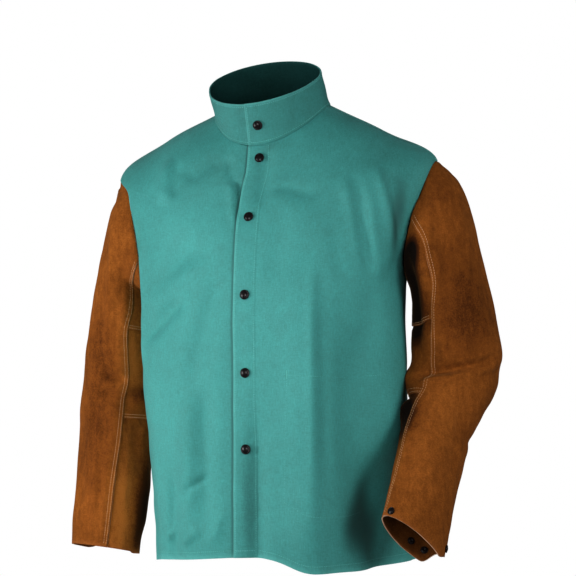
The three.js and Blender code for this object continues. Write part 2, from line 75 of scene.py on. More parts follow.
right = Vector((math.cos(VIEW_TURN), math.sin(VIEW_TURN), 0))
ahead = Vector((-math.sin(VIEW_TURN), math.cos(VIEW_TURN), 0))
up = Vector((0, 0, 1))
across = right * math.cos(VIEW_ROLL) - up * math.sin(VIEW_ROLL)
upright = right * math.sin(VIEW_ROLL) + up * math.cos(VIEW_ROLL)
camera_data = bpy.data.cameras.new("camera")
camera_data.lens, camera_data.sensor_width = LENS, SENSOR
camera = bpy.data.objects.new("camera", camera_data)
bpy.context.collection.objects.link(camera)
camera.matrix_world = Matrix((across, upright, -ahead)).transposed().to_4x4()
camera.location = -ahead * VIEW_AWAY + right * VIEW_ASIDE + up * VIEW_HEIGHT
bpy.context.scene.camera = camera
print("camera at", [round(v, 3) for v in camera.location])

# %% [markdown]
# ## Light and floor
# Two lamps stand in front on the left of the picture, a large one far off and a small one near, so that the
# light falls off across the body and rounds it. A large lamp on the right shapes the other sleeve, and a
# weak one beside the camera, with a narrow spread, fills the front. A thin beam reaches the inner side of
# the right sleeve, and one lamp behind keeps the back readable. White surroundings would light the cloth
# flat, so the world is white only where the camera looks straight at it, and weak as a light. A gamma under
# 1 deepens the middle tones, as in a printed picture. The floor is a pale disc far below the hem.

# %% World
PICTURE_GAMMA = 0.83
AMBIENT, BACKDROP = 0.16, 1.0
view = bpy.context.scene.view_settings
view.view_transform, view.gamma = "Standard", PICTURE_GAMMA
world = bpy.data.worlds.new("studio")
world.use_nodes = True
tree = world.node_tree
background = tree.nodes["Background"]
background.inputs["Color"].default_value = (1.0, 1.0, 1.0, 1.0)
seen = tree.nodes.new("ShaderNodeLightPath").outputs["Is Camera Ray"]
strength = tree.nodes.new("ShaderNodeMapRange")
strength.inputs["To Min"].default_value, strength.inputs["To Max"].default_value = AMBIENT, BACKDROP
tree.links.new(seen, strength.inputs["Value"])
tree.links.new(strength.outputs["Result"], background.inputs["Strength"])
bpy.context.scene.world = world
print("world: seen at", BACKDROP, "and lighting at", AMBIENT)

# %% Lamps
LAMP_AIM, CUFF_AIM = Vector((0.0, 0.0, -0.3)), Vector((-0.28, 0.0, -0.6))


def add_lamp(name, aim, turn, rise, away, size, spread, watts):
    """A square area lamp, turned from the front to the wearer's right and raised, that faces its aim."""
    turn, rise = math.radians(turn), math.radians(rise)
    way = Vector((-math.sin(turn) * math.cos(rise), -math.cos(turn) * math.cos(rise), math.sin(rise)))
    data = bpy.data.lights.new(name, "AREA")
    data.size, data.spread, data.energy = size, math.radians(spread), watts
    lamp = bpy.data.objects.new(name, data)
    bpy.context.collection.objects.link(lamp)
    lamp.location = aim + way * away
    lamp.rotation_euler = (-way).to_track_quat("-Z", "Y").to_euler()


# Columns: name, aim, turn and rise in degrees, metres away and across, spread in degrees, watts
LAMPS = [
    ("key_lamp", LAMP_AIM, 55, 8, 3.0, 0.8, 180, 28.0),
    ("near_lamp", LAMP_AIM, 47, -4, 1.3, 0.5, 180, 10.4),
    ("front_lamp", LAMP_AIM, -4, 6, 1.3, 0.5, 75, 1.9),
    ("side_lamp", LAMP_AIM, -72, 10, 3.0, 1.0, 180, 40.0),
    ("cuff_lamp", CUFF_AIM, -24, -4, 1.2, 0.2, 28, 0.06),
    ("back_lamp", LAMP_AIM, 165, 6, 3.0, 1.0, 180, 32.0),
]
for lamp in LAMPS:
    add_lamp(*lamp)
print("lamps:", [lamp[0] for lamp in LAMPS])

# %% Floor
FLOOR_RADIUS, FLOOR_HEIGHT, FLOOR_SIDES = 1.2, -1.45, 96
turn = np.linspace(0, 2 * np.pi, FLOOR_SIDES, endpoint=False)
circle = np.stack([np.cos(turn), np.sin(turn), np.zeros(FLOOR_SIDES)], 1)
rim = FLOOR_RADIUS * circle + [0, 0, FLOOR_HEIGHT]
floor_mesh = bpy.data.meshes.new("floor")
floor_mesh.from_pydata(rim.tolist(), [], [list(range(FLOOR_SIDES))])
floor = bpy.data.objects.new("floor", floor_mesh)
bpy.context.collection.objects.link(floor)
print("floor:", FLOOR_SIDES, "sides,", FLOOR_RADIUS, "m in radius")

# %% [markdown]
# ## Writing finishes as sums
# A node tree is easier to read as arithmetic. `Wire` wraps one output of a node, and an operator on it
# adds a Math node. `Finish.node` adds any other node: its settings first, then its sockets.


# %% Shader arithmetic
class Wire:
    """One output of a node in a finish; sums and products of wires add Math nodes."""

    def __init__(self, finish, output):
        self.finish, self.output = finish, output

    def maths(self, operation, first, second=0.0):
        """A Math node with an operation on two wires or numbers."""
        return self.finish.node("ShaderNodeMath", {"operation": operation}, {0: first, 1: second})

    def __add__(self, other):
        return self.maths("ADD", self, other)

    def __sub__(self, other):
        return self.maths("SUBTRACT", self, other)

    def __mul__(self, other):
        return self.maths("MULTIPLY", self, other)

    def __rsub__(self, other):
        return self.maths("SUBTRACT", other, self)

    __radd__, __rmul__ = __add__, __mul__

    def sine(self):
        """Sine of an angle in radians."""
        return self.maths("SINE", self)


class Finish:
    """A material with one Principled shader, whose parts are added by name."""

    def __init__(self, name):
        self.material = bpy.data.materials.new(name)
        self.material.use_nodes = True
        self.tree = self.material.node_tree
        self.shader = self.tree.nodes["Principled BSDF"]

    def node(self, kind, settings, sockets, output=0):
        """A node of a kind: its settings first, then its sockets, and one of its outputs as a wire."""
        node = self.tree.nodes.new(kind)
        for key, value in settings.items():
            if key == "stops":
                self.set_stops(node.color_ramp, value)
            else:
                setattr(node, key, value)
        for key, value in sockets.items():
            self.plug(node.inputs[key], value)
        return Wire(self, node.outputs[output])

    def set_stops(self, ramp, stops):
        """Positions and colours of a ramp's stops."""
        while len(ramp.elements) < len(stops):
            ramp.elements.new(1.0)
        for element, (position, colour) in zip(ramp.elements, stops):
            element.position, element.color = position, (*colour, 1.0)

    def plug(self, socket, value):
        """Link a wire to a socket, or set the socket's own value."""
        if isinstance(value, Wire):
            self.tree.links.new(value.output, socket)
        else:
            socket.default_value = value

    def noise(self, place, scale, detail=3.0, roughness=0.55):
        """Cloudy noise with a number of lumps per metre, finer with more detail."""
        sockets = {"Vector": place, "Scale": scale, "Detail": detail, "Roughness": roughness}
        return self.node("ShaderNodeTexNoise", {}, sockets)

    def stretched(self, place, scale):
        """A place with each axis multiplied, so that noise on it is drawn out."""
        return self.node("ShaderNodeMapping", {}, {"Vector": place, "Scale": scale})

    def ramp(self, value, stops):
        """The colour at a value, between the colours of the stops."""
        return self.node("ShaderNodeValToRGB", {"stops": stops}, {"Fac": value})

    def blend(self, share, first, second):
        """The first colour, turning into the second as the share goes from 0 to 1."""
        sockets = {0: share, 6: first, 7: second}
        return self.node("ShaderNodeMix", {"data_type": "RGBA"}, sockets, output=2)

    def attribute(self, name):
        """A mark of one number per point on the mesh."""
        return self.node("ShaderNodeAttribute", {"attribute_name": name}, {}, output="Fac")

    def bump(self, height, strength, depth):
        """A surface direction tilted by a height, whose depth is in metres."""
        sockets = {"Height": height, "Strength": strength, "Distance": depth}
        return self.node("ShaderNodeBump", {}, sockets)

    def surface(self, **values):
        """Inputs of the Principled shader by name, with _ for a space."""
        for name, value in values.items():
            self.plug(self.shader.inputs[name.replace("_", " ")], value)


# %% [markdown]
# ## Green cotton
# The body is a heavy cotton twill: close diagonal ribs, a little slub in the yarns, and cloth that fades
# where it is handled. The ribs are too fine for geometry, so they are a bump that follows the cloth's own
# UV map, in metres across and up each panel. The tone has clouds and thin streaks along both yarns. Two marks
# on the mesh change it from place to place: edge fades the cloth where it is handled, and the other is
# painted light and shade, lighter above zero and sinking into a painted shade colour below. The inside is
# the same cloth with painted shade, darker and without gloss.

# %% Green cotton
COTTON_DARK, COTTON_LIGHT = (0.028, 0.188, 0.172), (0.060, 0.318, 0.298)
# The second colour is painted shade, used where the mark of painted light and shade lies far below zero
COTTON_FADED, COTTON_SHADE = (0.112, 0.420, 0.395), (0.006, 0.030, 0.028)
TWILL_PITCH = 0.0015
OUTSIDE_SHADE, OUTSIDE_GLOSS = 1.0, 0.45
# The inside is darkened by a factor, as painted shade
INSIDE_PAINTED_SHADE, INSIDE_GLOSS = 0.2, 0.05
# Where the painted shade begins below zero, and how fast it deepens
SHADE_GAIN, SHADE_START = 1.2, 0.2


def make_cotton(name, shade, gloss):
    """Clouds, mottle, slub along both yarns and grain mixed into one tone, with ribs and slub as bump."""
    cotton = Finish(name)
    cloth_place = cotton.node("ShaderNodeUVMap", {"uv_map": "cloth"}, {})
    room = cotton.node("ShaderNodeTexCoord", {}, {}, output="Object")
    cloud = cotton.noise(room, 7.0)
    mottle = cotton.noise(room, 55.0, 4.0)
    grain = cotton.noise(room, 330.0, 3.0, 0.7)
    weft = cotton.noise(cotton.stretched(cloth_place, (90.0, 900.0, 1.0)), 1.0, 2.0)
    warp = cotton.noise(cotton.stretched(cloth_place, (900.0, 60.0, 1.0)), 1.0, 2.0)
    tone = 0.5 + 0.35 * (cloud - 0.5) + 0.35 * (mottle - 0.5) + 0.7 * (grain - 0.5)
    # The mark adds painted light and shade to the tone
    tone = tone + 0.5 * (weft - 0.5) + 0.6 * (warp - 0.5) + cotton.attribute("nap")
    outside = (COTTON_DARK, COTTON_LIGHT, COTTON_FADED)
    dark, light, faded = (tuple(shade * part for part in colour) for colour in outside)
    colour = cotton.ramp(tone, [(0.12, dark), (0.88, light)])
    # Far below zero, the mark blends the colour into painted shade
    in_shade = -SHADE_GAIN * cotton.attribute("nap") - SHADE_START
    colour = cotton.blend(in_shade, colour, (*COTTON_SHADE, 1.0))
    worn = cotton.attribute("edge") * (0.15 + 0.5 * mottle)
    cloth_x = cotton.node("ShaderNodeSeparateXYZ", {}, {0: cloth_place}, output="X")
    cloth_y = cotton.node("ShaderNodeSeparateXYZ", {}, {0: cloth_place}, output="Y")
    rib = ((cloth_x + cloth_y) * (2 * math.pi / TWILL_PITCH)).sine()
    cotton.surface(
        Base_Color=cotton.blend(worn, colour, (*faded, 1.0)),
        Roughness=0.56 + 0.2 * mottle,
        Normal=cotton.bump(0.35 * rib + 1.1 * weft + 1.1 * warp + 1.4 * grain, 0.4, 0.0007),
        Specular_IOR_Level=gloss,
        Sheen_Weight=0.13 * gloss,
        Sheen_Roughness=0.5,
    )
    return cotton


cotton = make_cotton("green_cotton", OUTSIDE_SHADE, OUTSIDE_GLOSS)
# The inside is the same cloth with painted shade
cotton_inside_shaded = make_cotton("green_cotton_inside_painted_shade", INSIDE_PAINTED_SHADE, INSIDE_GLOSS)
print("finishes:", cotton.material.name, cotton_inside_shaded.material.name)

# %% [markdown]
# ## Split leather
# The sleeves are suede: the inner layer of a hide, brushed to a nap. Its tone changes in soft clouds where
# the nap was stroked one way or the other, with small dark pits and pale rubbed places. A nap follows no
# weave, so the noise reads the object's own coordinates. The inside is darkened as painted shade, and a cut
# edge is pale. A mark of painted light and shade lightens or darkens places, and where it lies far below
# zero, as in a deep fold, painted shade turns the leather almost black.

# %% Split leather
SUEDE_STOPS = [
    (0.12, (0.066, 0.0190, 0.0030)),
    (0.50, (0.200, 0.0660, 0.0105)),
    (0.88, (0.356, 0.1300, 0.0240)),
]
CUT_EDGE_STOPS = [(0.2, (0.50, 0.34, 0.24)), (0.8, (0.80, 0.62, 0.49))]
# The colour of rubbed places, then a painted shade for deep folds
SUEDE_RUBBED, SUEDE_PAINTED_SHADE = (0.300, 0.110, 0.030, 1.0), (0.006, 0.003, 0.002, 1.0)
# The inside's factor is painted shade; gain and start set where the painted shade of folds begins
SUEDE_INSIDE_PAINTED_SHADE, SUEDE_SHADE_GAIN, SUEDE_SHADE_START = 0.5, 1.3, 0.4


def make_suede(name, stops):
    """Clouds, brush strokes down the arm, mottle, pits and painted light and shade in one tone, and a nap as
    bump.
    """
    suede = Finish(name)
    room = suede.node("ShaderNodeTexCoord", {}, {}, output="Object")
    cloud = suede.noise(room, 11.0, 3.0)
    stroke = suede.noise(suede.stretched(room, (150.0, 150.0, 40.0)), 1.0, 3.0)
    mottle = suede.noise(room, 110.0, 5.0, 0.66)
    pit = suede.noise(room, 480.0, 2.0)
    nap = suede.noise(room, 1100.0, 2.0)
    tone = 0.5 + 0.5 * (cloud - 0.5) + 0.35 * (stroke - 0.5) + 0.4 * (mottle - 0.5) + 0.5 * (pit - 0.5)
    # The mark adds painted light and shade to the tone
    tone = tone + suede.attribute("nap")
    # Far below zero, the mark blends the colour into painted shade
    painted_shade = -SUEDE_SHADE_GAIN * suede.attribute("nap") - SUEDE_SHADE_START
    colour = suede.blend(painted_shade, suede.ramp(tone, stops), SUEDE_PAINTED_SHADE)
    rubbed = suede.attribute("edge") * (0.15 + 0.7 * mottle)
    suede.surface(
        Base_Color=suede.blend(rubbed, colour, SUEDE_RUBBED),
        Roughness=0.86 + 0.12 * pit,
        Normal=suede.bump(1.0 * mottle + 0.9 * pit + 0.7 * nap, 0.5, 0.0012),
        Specular_IOR_Level=0.1,
        Sheen_Weight=0.1,
        Sheen_Roughness=0.4,
        Sheen_Tint=(0.9, 0.45, 0.15, 1.0),
    )
    return suede


suede = make_suede("split_leather", SUEDE_STOPS)
# The inside is the same leather, darkened as painted shade
painted_shade_inside_stops = [(at, tuple(SUEDE_INSIDE_PAINTED_SHADE * c for c in colour)) for at, colour in SUEDE_STOPS]
suede_inside_shaded = make_suede("split_leather_inside", painted_shade_inside_stops)
suede_edge = make_suede("split_leather_cut_edge", CUT_EDGE_STOPS)
print("finishes:", suede.material.name, suede_inside_shaded.material.name, suede_edge.material.name)

# %% [markdown]
# ## Thread and snaps
# The body is sewn with thread a shade paler than the cloth, and the sleeves with tan thread. A fine noise
# along the strands breaks up both. The snaps are steel caps in black lacquer, worn to a warm brown on top.


# %% Thread
def make_thread(name, dark, light):
    """A matt thread whose tone changes along the seam and in fine fibres."""
    thread = Finish(name)
    room = thread.node("ShaderNodeTexCoord", {}, {}, output="Object")
    tone = 0.5 * thread.noise(room, 40.0) + 0.5 * thread.noise(room, 1500.0, 2.0)
    thread.surface(
        Base_Color=thread.ramp(tone, [(0.3, dark), (0.7, light)]),
        Roughness=0.75 + 0.2 * tone,
        Normal=thread.bump(thread.noise(room, 2500.0, 2.0), 0.4, 0.0003),
    )
    return thread


green_thread = make_thread("green_thread", (0.07, 0.32, 0.285), (0.16, 0.47, 0.43))
tan_thread = make_thread("tan_thread", (0.36, 0.20, 0.09), (0.72, 0.49, 0.28))
print("finishes:", green_thread.material.name, tan_thread.material.name)

# %% Black lacquer
LACQUER_STOPS = [(0.3, (0.005, 0.0047, 0.0055)), (0.7, (0.010, 0.0092, 0.0105))]
LACQUER_WORN = (0.018, 0.012, 0.012, 1.0)
lacquer = Finish("black_lacquer")
room = lacquer.node("ShaderNodeTexCoord", {}, {}, output="Object")
scuff = lacquer.noise(room, 900.0, 4.0)
smear = lacquer.noise(room, 160.0, 3.0)
rubbed = lacquer.attribute("edge") * (0.2 + 0.8 * scuff)
black = lacquer.ramp(smear, LACQUER_STOPS)
lacquer.surface(
    Base_Color=lacquer.blend(rubbed, black, LACQUER_WORN),
    Roughness=0.16 + 0.16 * scuff,
    Metallic=0.1,
    Coat_Weight=0.06,
    Coat_Roughness=0.2,
    Specular_IOR_Level=0.14,
    Normal=lacquer.bump(scuff, 0.12, 0.0002),
)
print("finish:", lacquer.material.name)

# %% [markdown]
# ## The shape of the body
# The body is a stack of eight rings from hem to neck. Between two rings every measure follows a smooth
# cubic, so a place on the jacket is two numbers: how far round the ring it lies from the centre front, and
# its level up the cloth. A tailor measures the same way, with a tape along the surface.

# %% Cubic through a table
RING_NAMES = ("level", "left_x", "left_z", "right_x", "right_z", "side_y",
              "front_y", "front_z", "back_y", "back_z", "corner")
BODY_RINGS = np.array([
    (0, 214, -710, 216, -720, -14, -184, -677, 118, -722, 2.7),
    (160, 204, -558, 216, -562, -12, -172, -550, 116, -560, 2.7),
    (320, 201, -405, 220, -405, -8, -160, -415, 114, -400, 2.6),
    (460, 208, -276, 223, -276, -2, -151, -302, 118, -262, 2.5),
    (555, 243, -188, 243, -184, 4, -134, -226, 116, -168, 2.4),
    (650, 264, -97, 268, -86, 8, -108, -150, 100, -78, 2.2),
    (745, 182, -46, 182, -33, 4, -90, -106, 85, -24, 2.1),
    (830, 96, 0, 91, 3, 0, -76, -62, 68, 22, 2.0),
])
HEM_LEVEL, NECK_LEVEL = 0.0, 830.0


def smooth(share):
    """Ease from 0 to 1 with level ends."""
    share = np.clip(share, 0, 1)
    return share * share * (3 - 2 * share)


def spline_weights(knots, at):
    """Weight of every knot's value at each place, for a cubic with slopes from the neighbouring knots."""
    knots, at = np.asarray(knots, float), np.ravel(at).astype(float)
    last = len(knots) - 1
    i = np.clip(np.searchsorted(knots, at, side="right") - 1, 0, last - 1)
    span = knots[i + 1] - knots[i]
    t = (at - knots[i]) / span
    weights = np.zeros((at.size, last + 1))
    row = np.arange(at.size)

    def put(k, weight):
        """Add a weight to one knot of every row."""
        np.add.at(weights, (row, k), weight)

    def put_slope(k, weight):
        """Add the slope at a knot: the change between its neighbours over their distance."""
        low, high = np.maximum(k - 1, 0), np.minimum(k + 1, last)
        share = weight * span / (knots[high] - knots[low])
        put(high, share)
        put(low, -share)

    put(i, (1 + 2 * t) * (1 - t) ** 2)
    put(i + 1, t * t * (3 - 2 * t))
    put_slope(i, t * (1 - t) ** 2)
    put_slope(i + 1, t * t * (t - 1))
    return weights


def table_at(table, at):
    """All the columns of a table at each place, by the cubic through its first column."""
    return (spline_weights(table[:, 0], at) @ table).reshape(*np.shape(at), -1)


print("rings of the body:", len(BODY_RINGS))

# %% Rings and running length
RIDGE_ROUNDING = 1.5
TABLE_ROWS, TABLE_TURNS = 167, 361
TABLE_LEVELS, HALF_TURNS = np.linspace(HEM_LEVEL, NECK_LEVEL, TABLE_ROWS), np.linspace(0, 1, TABLE_TURNS)
SIDE_TURN = TABLE_TURNS // 2


def grid(down, across):
    """Every pair of two lists of values, as two arrays with a row for each of the first."""
    return np.meshgrid(down, across, indexing="ij")


def half_ring(turn, level, left):
    """A squared oval from centre front (0) over the side to centre back (1), tilted over the shoulder."""
    ring = dict(zip(RING_NAMES, np.moveaxis(table_at(BODY_RINGS, level), -1, 0)))
    across, ahead = np.sin(np.pi * turn), np.cos(np.pi * turn)
    reach = (np.abs(across) ** ring["corner"] + np.abs(ahead) ** ring["corner"]) ** (-1 / ring["corner"])
    share = np.abs(reach * ahead)
    end_y = np.where(ahead > 0, ring["front_y"], ring["back_y"])
    end_z = np.where(ahead > 0, ring["front_z"], ring["back_z"])
    side_x = np.where(left, ring["left_x"], -ring["right_x"])
    side_z = np.where(left, ring["left_z"], ring["right_z"])
    y = ring["side_y"] + (end_y - ring["side_y"]) * share
    z = side_z + (end_z - side_z) * share ** RIDGE_ROUNDING
    return np.stack([side_x * reach * across, y, z], -1)


def running_lengths(left):
    """Length along each half ring from the centre front to every turn."""
    level, turn = grid(TABLE_LEVELS, HALF_TURNS)
    step = np.linalg.norm(np.diff(half_ring(turn, level, np.full(level.shape, left)), axis=1), axis=2)
    return np.concatenate([np.zeros((len(level), 1)), np.cumsum(step, axis=1)], axis=1)


LENGTHS = {left: running_lengths(left) for left in (True, False)}
TURN_TABLES = {
    left: np.stack([np.interp(HALF_TURNS * row[-1], row, HALF_TURNS) for row in rows])
    for left, rows in LENGTHS.items()
}
print("tables of the half rings:", [table.shape for table in TURN_TABLES.values()])


# %% Places on the plain body
def half_length(level, left):
    """Length of a half ring from centre front to centre back."""
    return np.interp(level, TABLE_LEVELS, LENGTHS[left][:, -1])


def side_length(level, left):
    """Length of a half ring from the centre front to the side."""
    return np.interp(level, TABLE_LEVELS, LENGTHS[left][:, SIDE_TURN])


def look_up(table, level, share):
    """Straight-line lookup in a table over level and share of the half ring."""
    row = np.clip((level - HEM_LEVEL) / (NECK_LEVEL - HEM_LEVEL), 0, 1) * (table.shape[0] - 1)
    column = np.clip(share, 0, 1) * (table.shape[1] - 1)
    i = np.minimum(row.astype(int), table.shape[0] - 2)
    j = np.minimum(column.astype(int), table.shape[1] - 2)
    a, b = row - i, column - j
    low = table[i, j] * (1 - b) + table[i, j + 1] * b
    return low * (1 - a) + (table[i + 1, j] * (1 - b) + table[i + 1, j + 1] * b) * a


def wrapped(distance, level):
    """The same place as a distance within half a girth of the centre front."""
    left, right = half_length(level, True), half_length(level, False)
    distance = np.where(distance > left, distance - left - right, distance)
    return np.where(distance < -right, distance + left + right, distance)


def ring_point(distance, level):
    """Point of the plain body at a distance from centre front, + towards the wearer's left."""
    near = wrapped(distance, level)
    left = near >= 0
    share = np.abs(near) / np.where(left, half_length(level, True), half_length(level, False))
    turn = np.where(left, look_up(TURN_TABLES[True], level, share), look_up(TURN_TABLES[False], level, share))
    return half_ring(turn, level, left)


def unit(vectors):
    """Vectors of length 1 in the same directions."""
    return vectors / np.linalg.norm(vectors, axis=-1, keepdims=True)


def body_normal(distance, level):
    """Cross product of the way round the ring and the way up the levels, over 4 mm each way."""
    step = 4.0
    around = ring_point(distance + step, level) - ring_point(distance - step, level)
    rise = ring_point(distance, np.minimum(level + step, NECK_LEVEL))
    return unit(np.cross(around, rise - ring_point(distance, np.maximum(level - step, HEM_LEVEL))))


print("girth at the hem in mm:", round(float(half_length(0.0, True) + half_length(0.0, False))))

# %% [markdown]
# ## Folds and creases
# A fold could be sculpted or simulated. Here each is one line on the cloth with a width and a height: a bell
# across the line that fades at both ends. The broad ones are those of the CAD panels, so the two agree, and
# the narrow ones are creases. Slow seeded waves keep the cloth between them from being flat.

# %% Folds of the cloth
# Columns: from (distance, level), to (distance, level), half width, height
BODY_FOLDS = [
    (100, -60, 96, 470, 34, 10), (166, -60, 160, 430, 38, -9), (106, -90, 106, 150, 44, 9),
    (150, 650, 188, 480, 22, -6), (-80, 600, -196, 370, 34, -7), (-135, -60, -135, 210, 24, -5),
    (-228, -110, -224, 100, 46, -9), (-228, -110, -223, 190, 46, -8), (-228, -110, -222, 300, 46, -7),
    (480, -60, 450, 480, 44, 7), (-480, -60, -450, 480, 44, 7),
    (545, 60, 520, 600, 40, -6), (-545, 60, -520, 600, 40, -6),
]
CREASES = [
    (104, 60, 104, 540, 9, 4.8), (118, 60, 118, 540, 10, -3.9), (92, -40, 92, 560, 44, 6.3),
    (182, -80, 178, 480, 36, -8.4), (250, -190, 252, 240, 58, -30), (214, -90, 210, 210, 34, -8),
    (258, -60, 252, 520, 34, 11.2), (156, 700, 198, 470, 10, -4), (140, 700, 182, 480, 9, 3.4),
    (178, 660, 214, 450, 10, 3.2), (208, 690, 252, 500, 10, -6.5), (192, 690, 236, 520, 8, 4.4),
    (128, 620, 150, 470, 14, -2.8), (-26, 735, -17, 600, 6, -4.2), (-42, 750, -24, 590, 8, 4),
    (-145, 750, -136, 645, 11, -4), (-164, 750, -160, 630, 16, 4.8), (-198, 610, -216, 290, 9, 6.3),
    (-66, 550, -200, 425, 18, 4.6), (-96, 475, -215, 370, 15, -7.4), (-36, 540, -104, 260, 20, -7),
    (-70, 340, -70, 20, 15, -7), (-98, 340, -100, 20, 14, 4.2), (-143, -20, -146, 170, 9, 2),
    (-128, -20, -130, 170, 10, -3), (-118, 108, -60, 152, 7, -4.2), (-112, 24, -74, 58, 8, 4.0),
    (-150, 30, -118, 66, 8, 3.4), (-58, 20, -36, 90, 9, 3.0),
    (62, 108, 104, 90, 5, -2.5), (60, 640, 40, 480, 18, -3.1), (16, -80, 16, 280, 15, -7.7),
    (16, 840, 15, 620, 13, -6.3), (30, 700, 110, 640, 18, -3.4), (-60, 790, -130, 700, 20, -3.6),
    (-46, 800, -36, 690, 9, -3.4), (330, 520, 400, 300, 18, -4.2), (-330, 540, -400, 310, 18, -4.2),
    (440, 700, 480, 420, 24, -4.9), (-450, 700, -480, 430, 24, -4.9), (380, 240, 360, -20, 20, 4.2),
    (-390, 250, -360, -20, 20, 4.2), (285, 500, 285, 250, 30, 4),
]
# Columns: distance, half width, drop
HEM_DIPS = [(90, 38, 12), (155, 75, 15), (-110, 90, 6)]
HEM_DIP_HEIGHT = 170.0
FOLD_FADE = 0.3
CLOTH_WAVES, CLOTH_WAVE_HEIGHT, CLOTH_SEED = (38.0, 47.0, 61.0, 76.0, 95.0), 0.55, 7


def fold_relief(x, y, folds):
    """Sum over the folds of height times a bell across the line, faded towards both of its ends."""
    relief = np.zeros(np.shape(x))
    for from_x, from_y, to_x, to_y, width, height in folds:
        way_x, way_y = to_x - from_x, to_y - from_y
        length = math.hypot(way_x, way_y)
        share = ((x - from_x) * way_x + (y - from_y) * way_y) / length**2
        across = ((x - from_x) * way_y - (y - from_y) * way_x) / length
        fade = smooth(share / FOLD_FADE) * smooth((1 - share) / FOLD_FADE)
        relief = relief + height * np.exp(-((across / width) ** 2)) * fade
    return relief


def waves(points, seed, lengths, height):
    """Sum of sine waves through space, each in a seeded direction, so neighbouring panels agree."""
    draw = np.random.default_rng(seed)
    total = np.zeros(points.shape[:-1])
    for length in lengths:
        direction = unit(draw.normal(size=3)) * 2 * np.pi / length
        total = total + np.sin(points @ direction + draw.uniform(0, 2 * np.pi))
    return height * total / math.sqrt(len(lengths))


# %% Draped body
# Columns: level, distance of the left front's edge from the centre front
FRONT_EDGE = np.array([(0, -21), (470, -19), (640, -20), (700, -17), (750, -13), (830, -13)], float)
SNAP_LEVELS = np.array([792.0, 616.0, 472.0, 328.0, 195.0])
SNAP_INSET = 19.0
PRESS_RADIUS, PRESS_DEPTH = 13.0, 0.9


def closing_edge(level):
    """Distance of the left front's edge from the centre front."""
    return table_at(FRONT_EDGE, level)[..., 1]


def snap_press(distance, level):
    """Hollow that each snap presses into the cloth, as a round bell."""
    inset = distance - closing_edge(level) - SNAP_INSET
    away = inset[..., None] ** 2 + (level[..., None] - SNAP_LEVELS) ** 2
    return PRESS_DEPTH * np.exp(-away / PRESS_RADIUS**2).sum(-1)


def hem_drop(distance, level):
    """How much lower the hem hangs at each place, gone some way up the body."""
    drop = sum(low * np.exp(-(((distance - middle) / width) ** 2)) for middle, width, low in HEM_DIPS)
    return drop * (1 - smooth(level / HEM_DIP_HEIGHT))


def body_surface(distance, level, lift=0.0):
    """Ring point, raised along its normal by the lift, folds and waves, and lowered by the hem's drop."""
    distance, level = np.broadcast_arrays(np.asarray(distance, float), np.asarray(level, float))
    near = wrapped(distance, level)
    points = ring_point(distance, level)
    folds = fold_relief(near, level, BODY_FOLDS + CREASES)
    rise = lift + folds + waves(points, CLOTH_SEED, CLOTH_WAVES, CLOTH_WAVE_HEIGHT)
    points = points + body_normal(distance, level) * (rise - snap_press(near, level))[..., None]
    points[..., 2] -= hem_drop(near, level)
    return points


print("folds:", len(BODY_FOLDS), "broad and", len(CREASES), "narrow")

# %% [markdown]
# ## Making a sheet
# A panel is a grid of points, so one helper turns any grid into a mesh with a UV map and its marks, gives it
# the thickness of its cloth with Solidify, and keeps what the tailor would call its flat size: the longest
# row, the longest column and the area. The thickness grows inwards, so the outside stays where it was drawn.

# %% Sheet helper
COTTON_WALL, PLACKET_WALL, COLLAR_WALL, LEATHER_WALL = 1.4, 1.2, 2.4, 2.0
COTTON_ROUNDING, PLACKET_ROUNDING, COLLAR_ROUNDING = 0.5, 0.4, 0.9
ROUNDING_SEGMENTS, ROUNDING_ANGLE = 2, math.radians(60)
pieces, flat_sizes = {}, {}


def length_along(points, axis):
    """Length of the longest line of the grid along an axis."""
    return np.linalg.norm(np.diff(points, axis=axis), axis=-1).sum(axis=axis).max()


def grid_area(points):
    """Area of the grid's quads, each as half the cross product of its diagonals."""
    first, second = points[1:, 1:] - points[:-1, :-1], points[1:, :-1] - points[:-1, 1:]
    return 0.5 * np.linalg.norm(np.cross(first, second), axis=-1).sum()


def put_mesh(name, points, face_groups, finishes, marks):
    """A smooth object at the origin from points in mm, with named marks of one number per point."""
    mesh = bpy.data.meshes.new(name)
    faces = [face for group in face_groups for face in group.tolist()]
    mesh.from_pydata((points * MM).tolist(), [], faces)
    for label, values in marks.items():
        mark = mesh.attributes.new(label, "FLOAT", "POINT")
        mark.data.foreach_set("value", np.ravel(values).astype(np.float32))
    mesh.shade_smooth()
    for finish in finishes:
        mesh.materials.append(finish.material)
    piece = bpy.data.objects.new(name, mesh)
    bpy.context.collection.objects.link(piece)
    pieces[name] = piece
    return piece


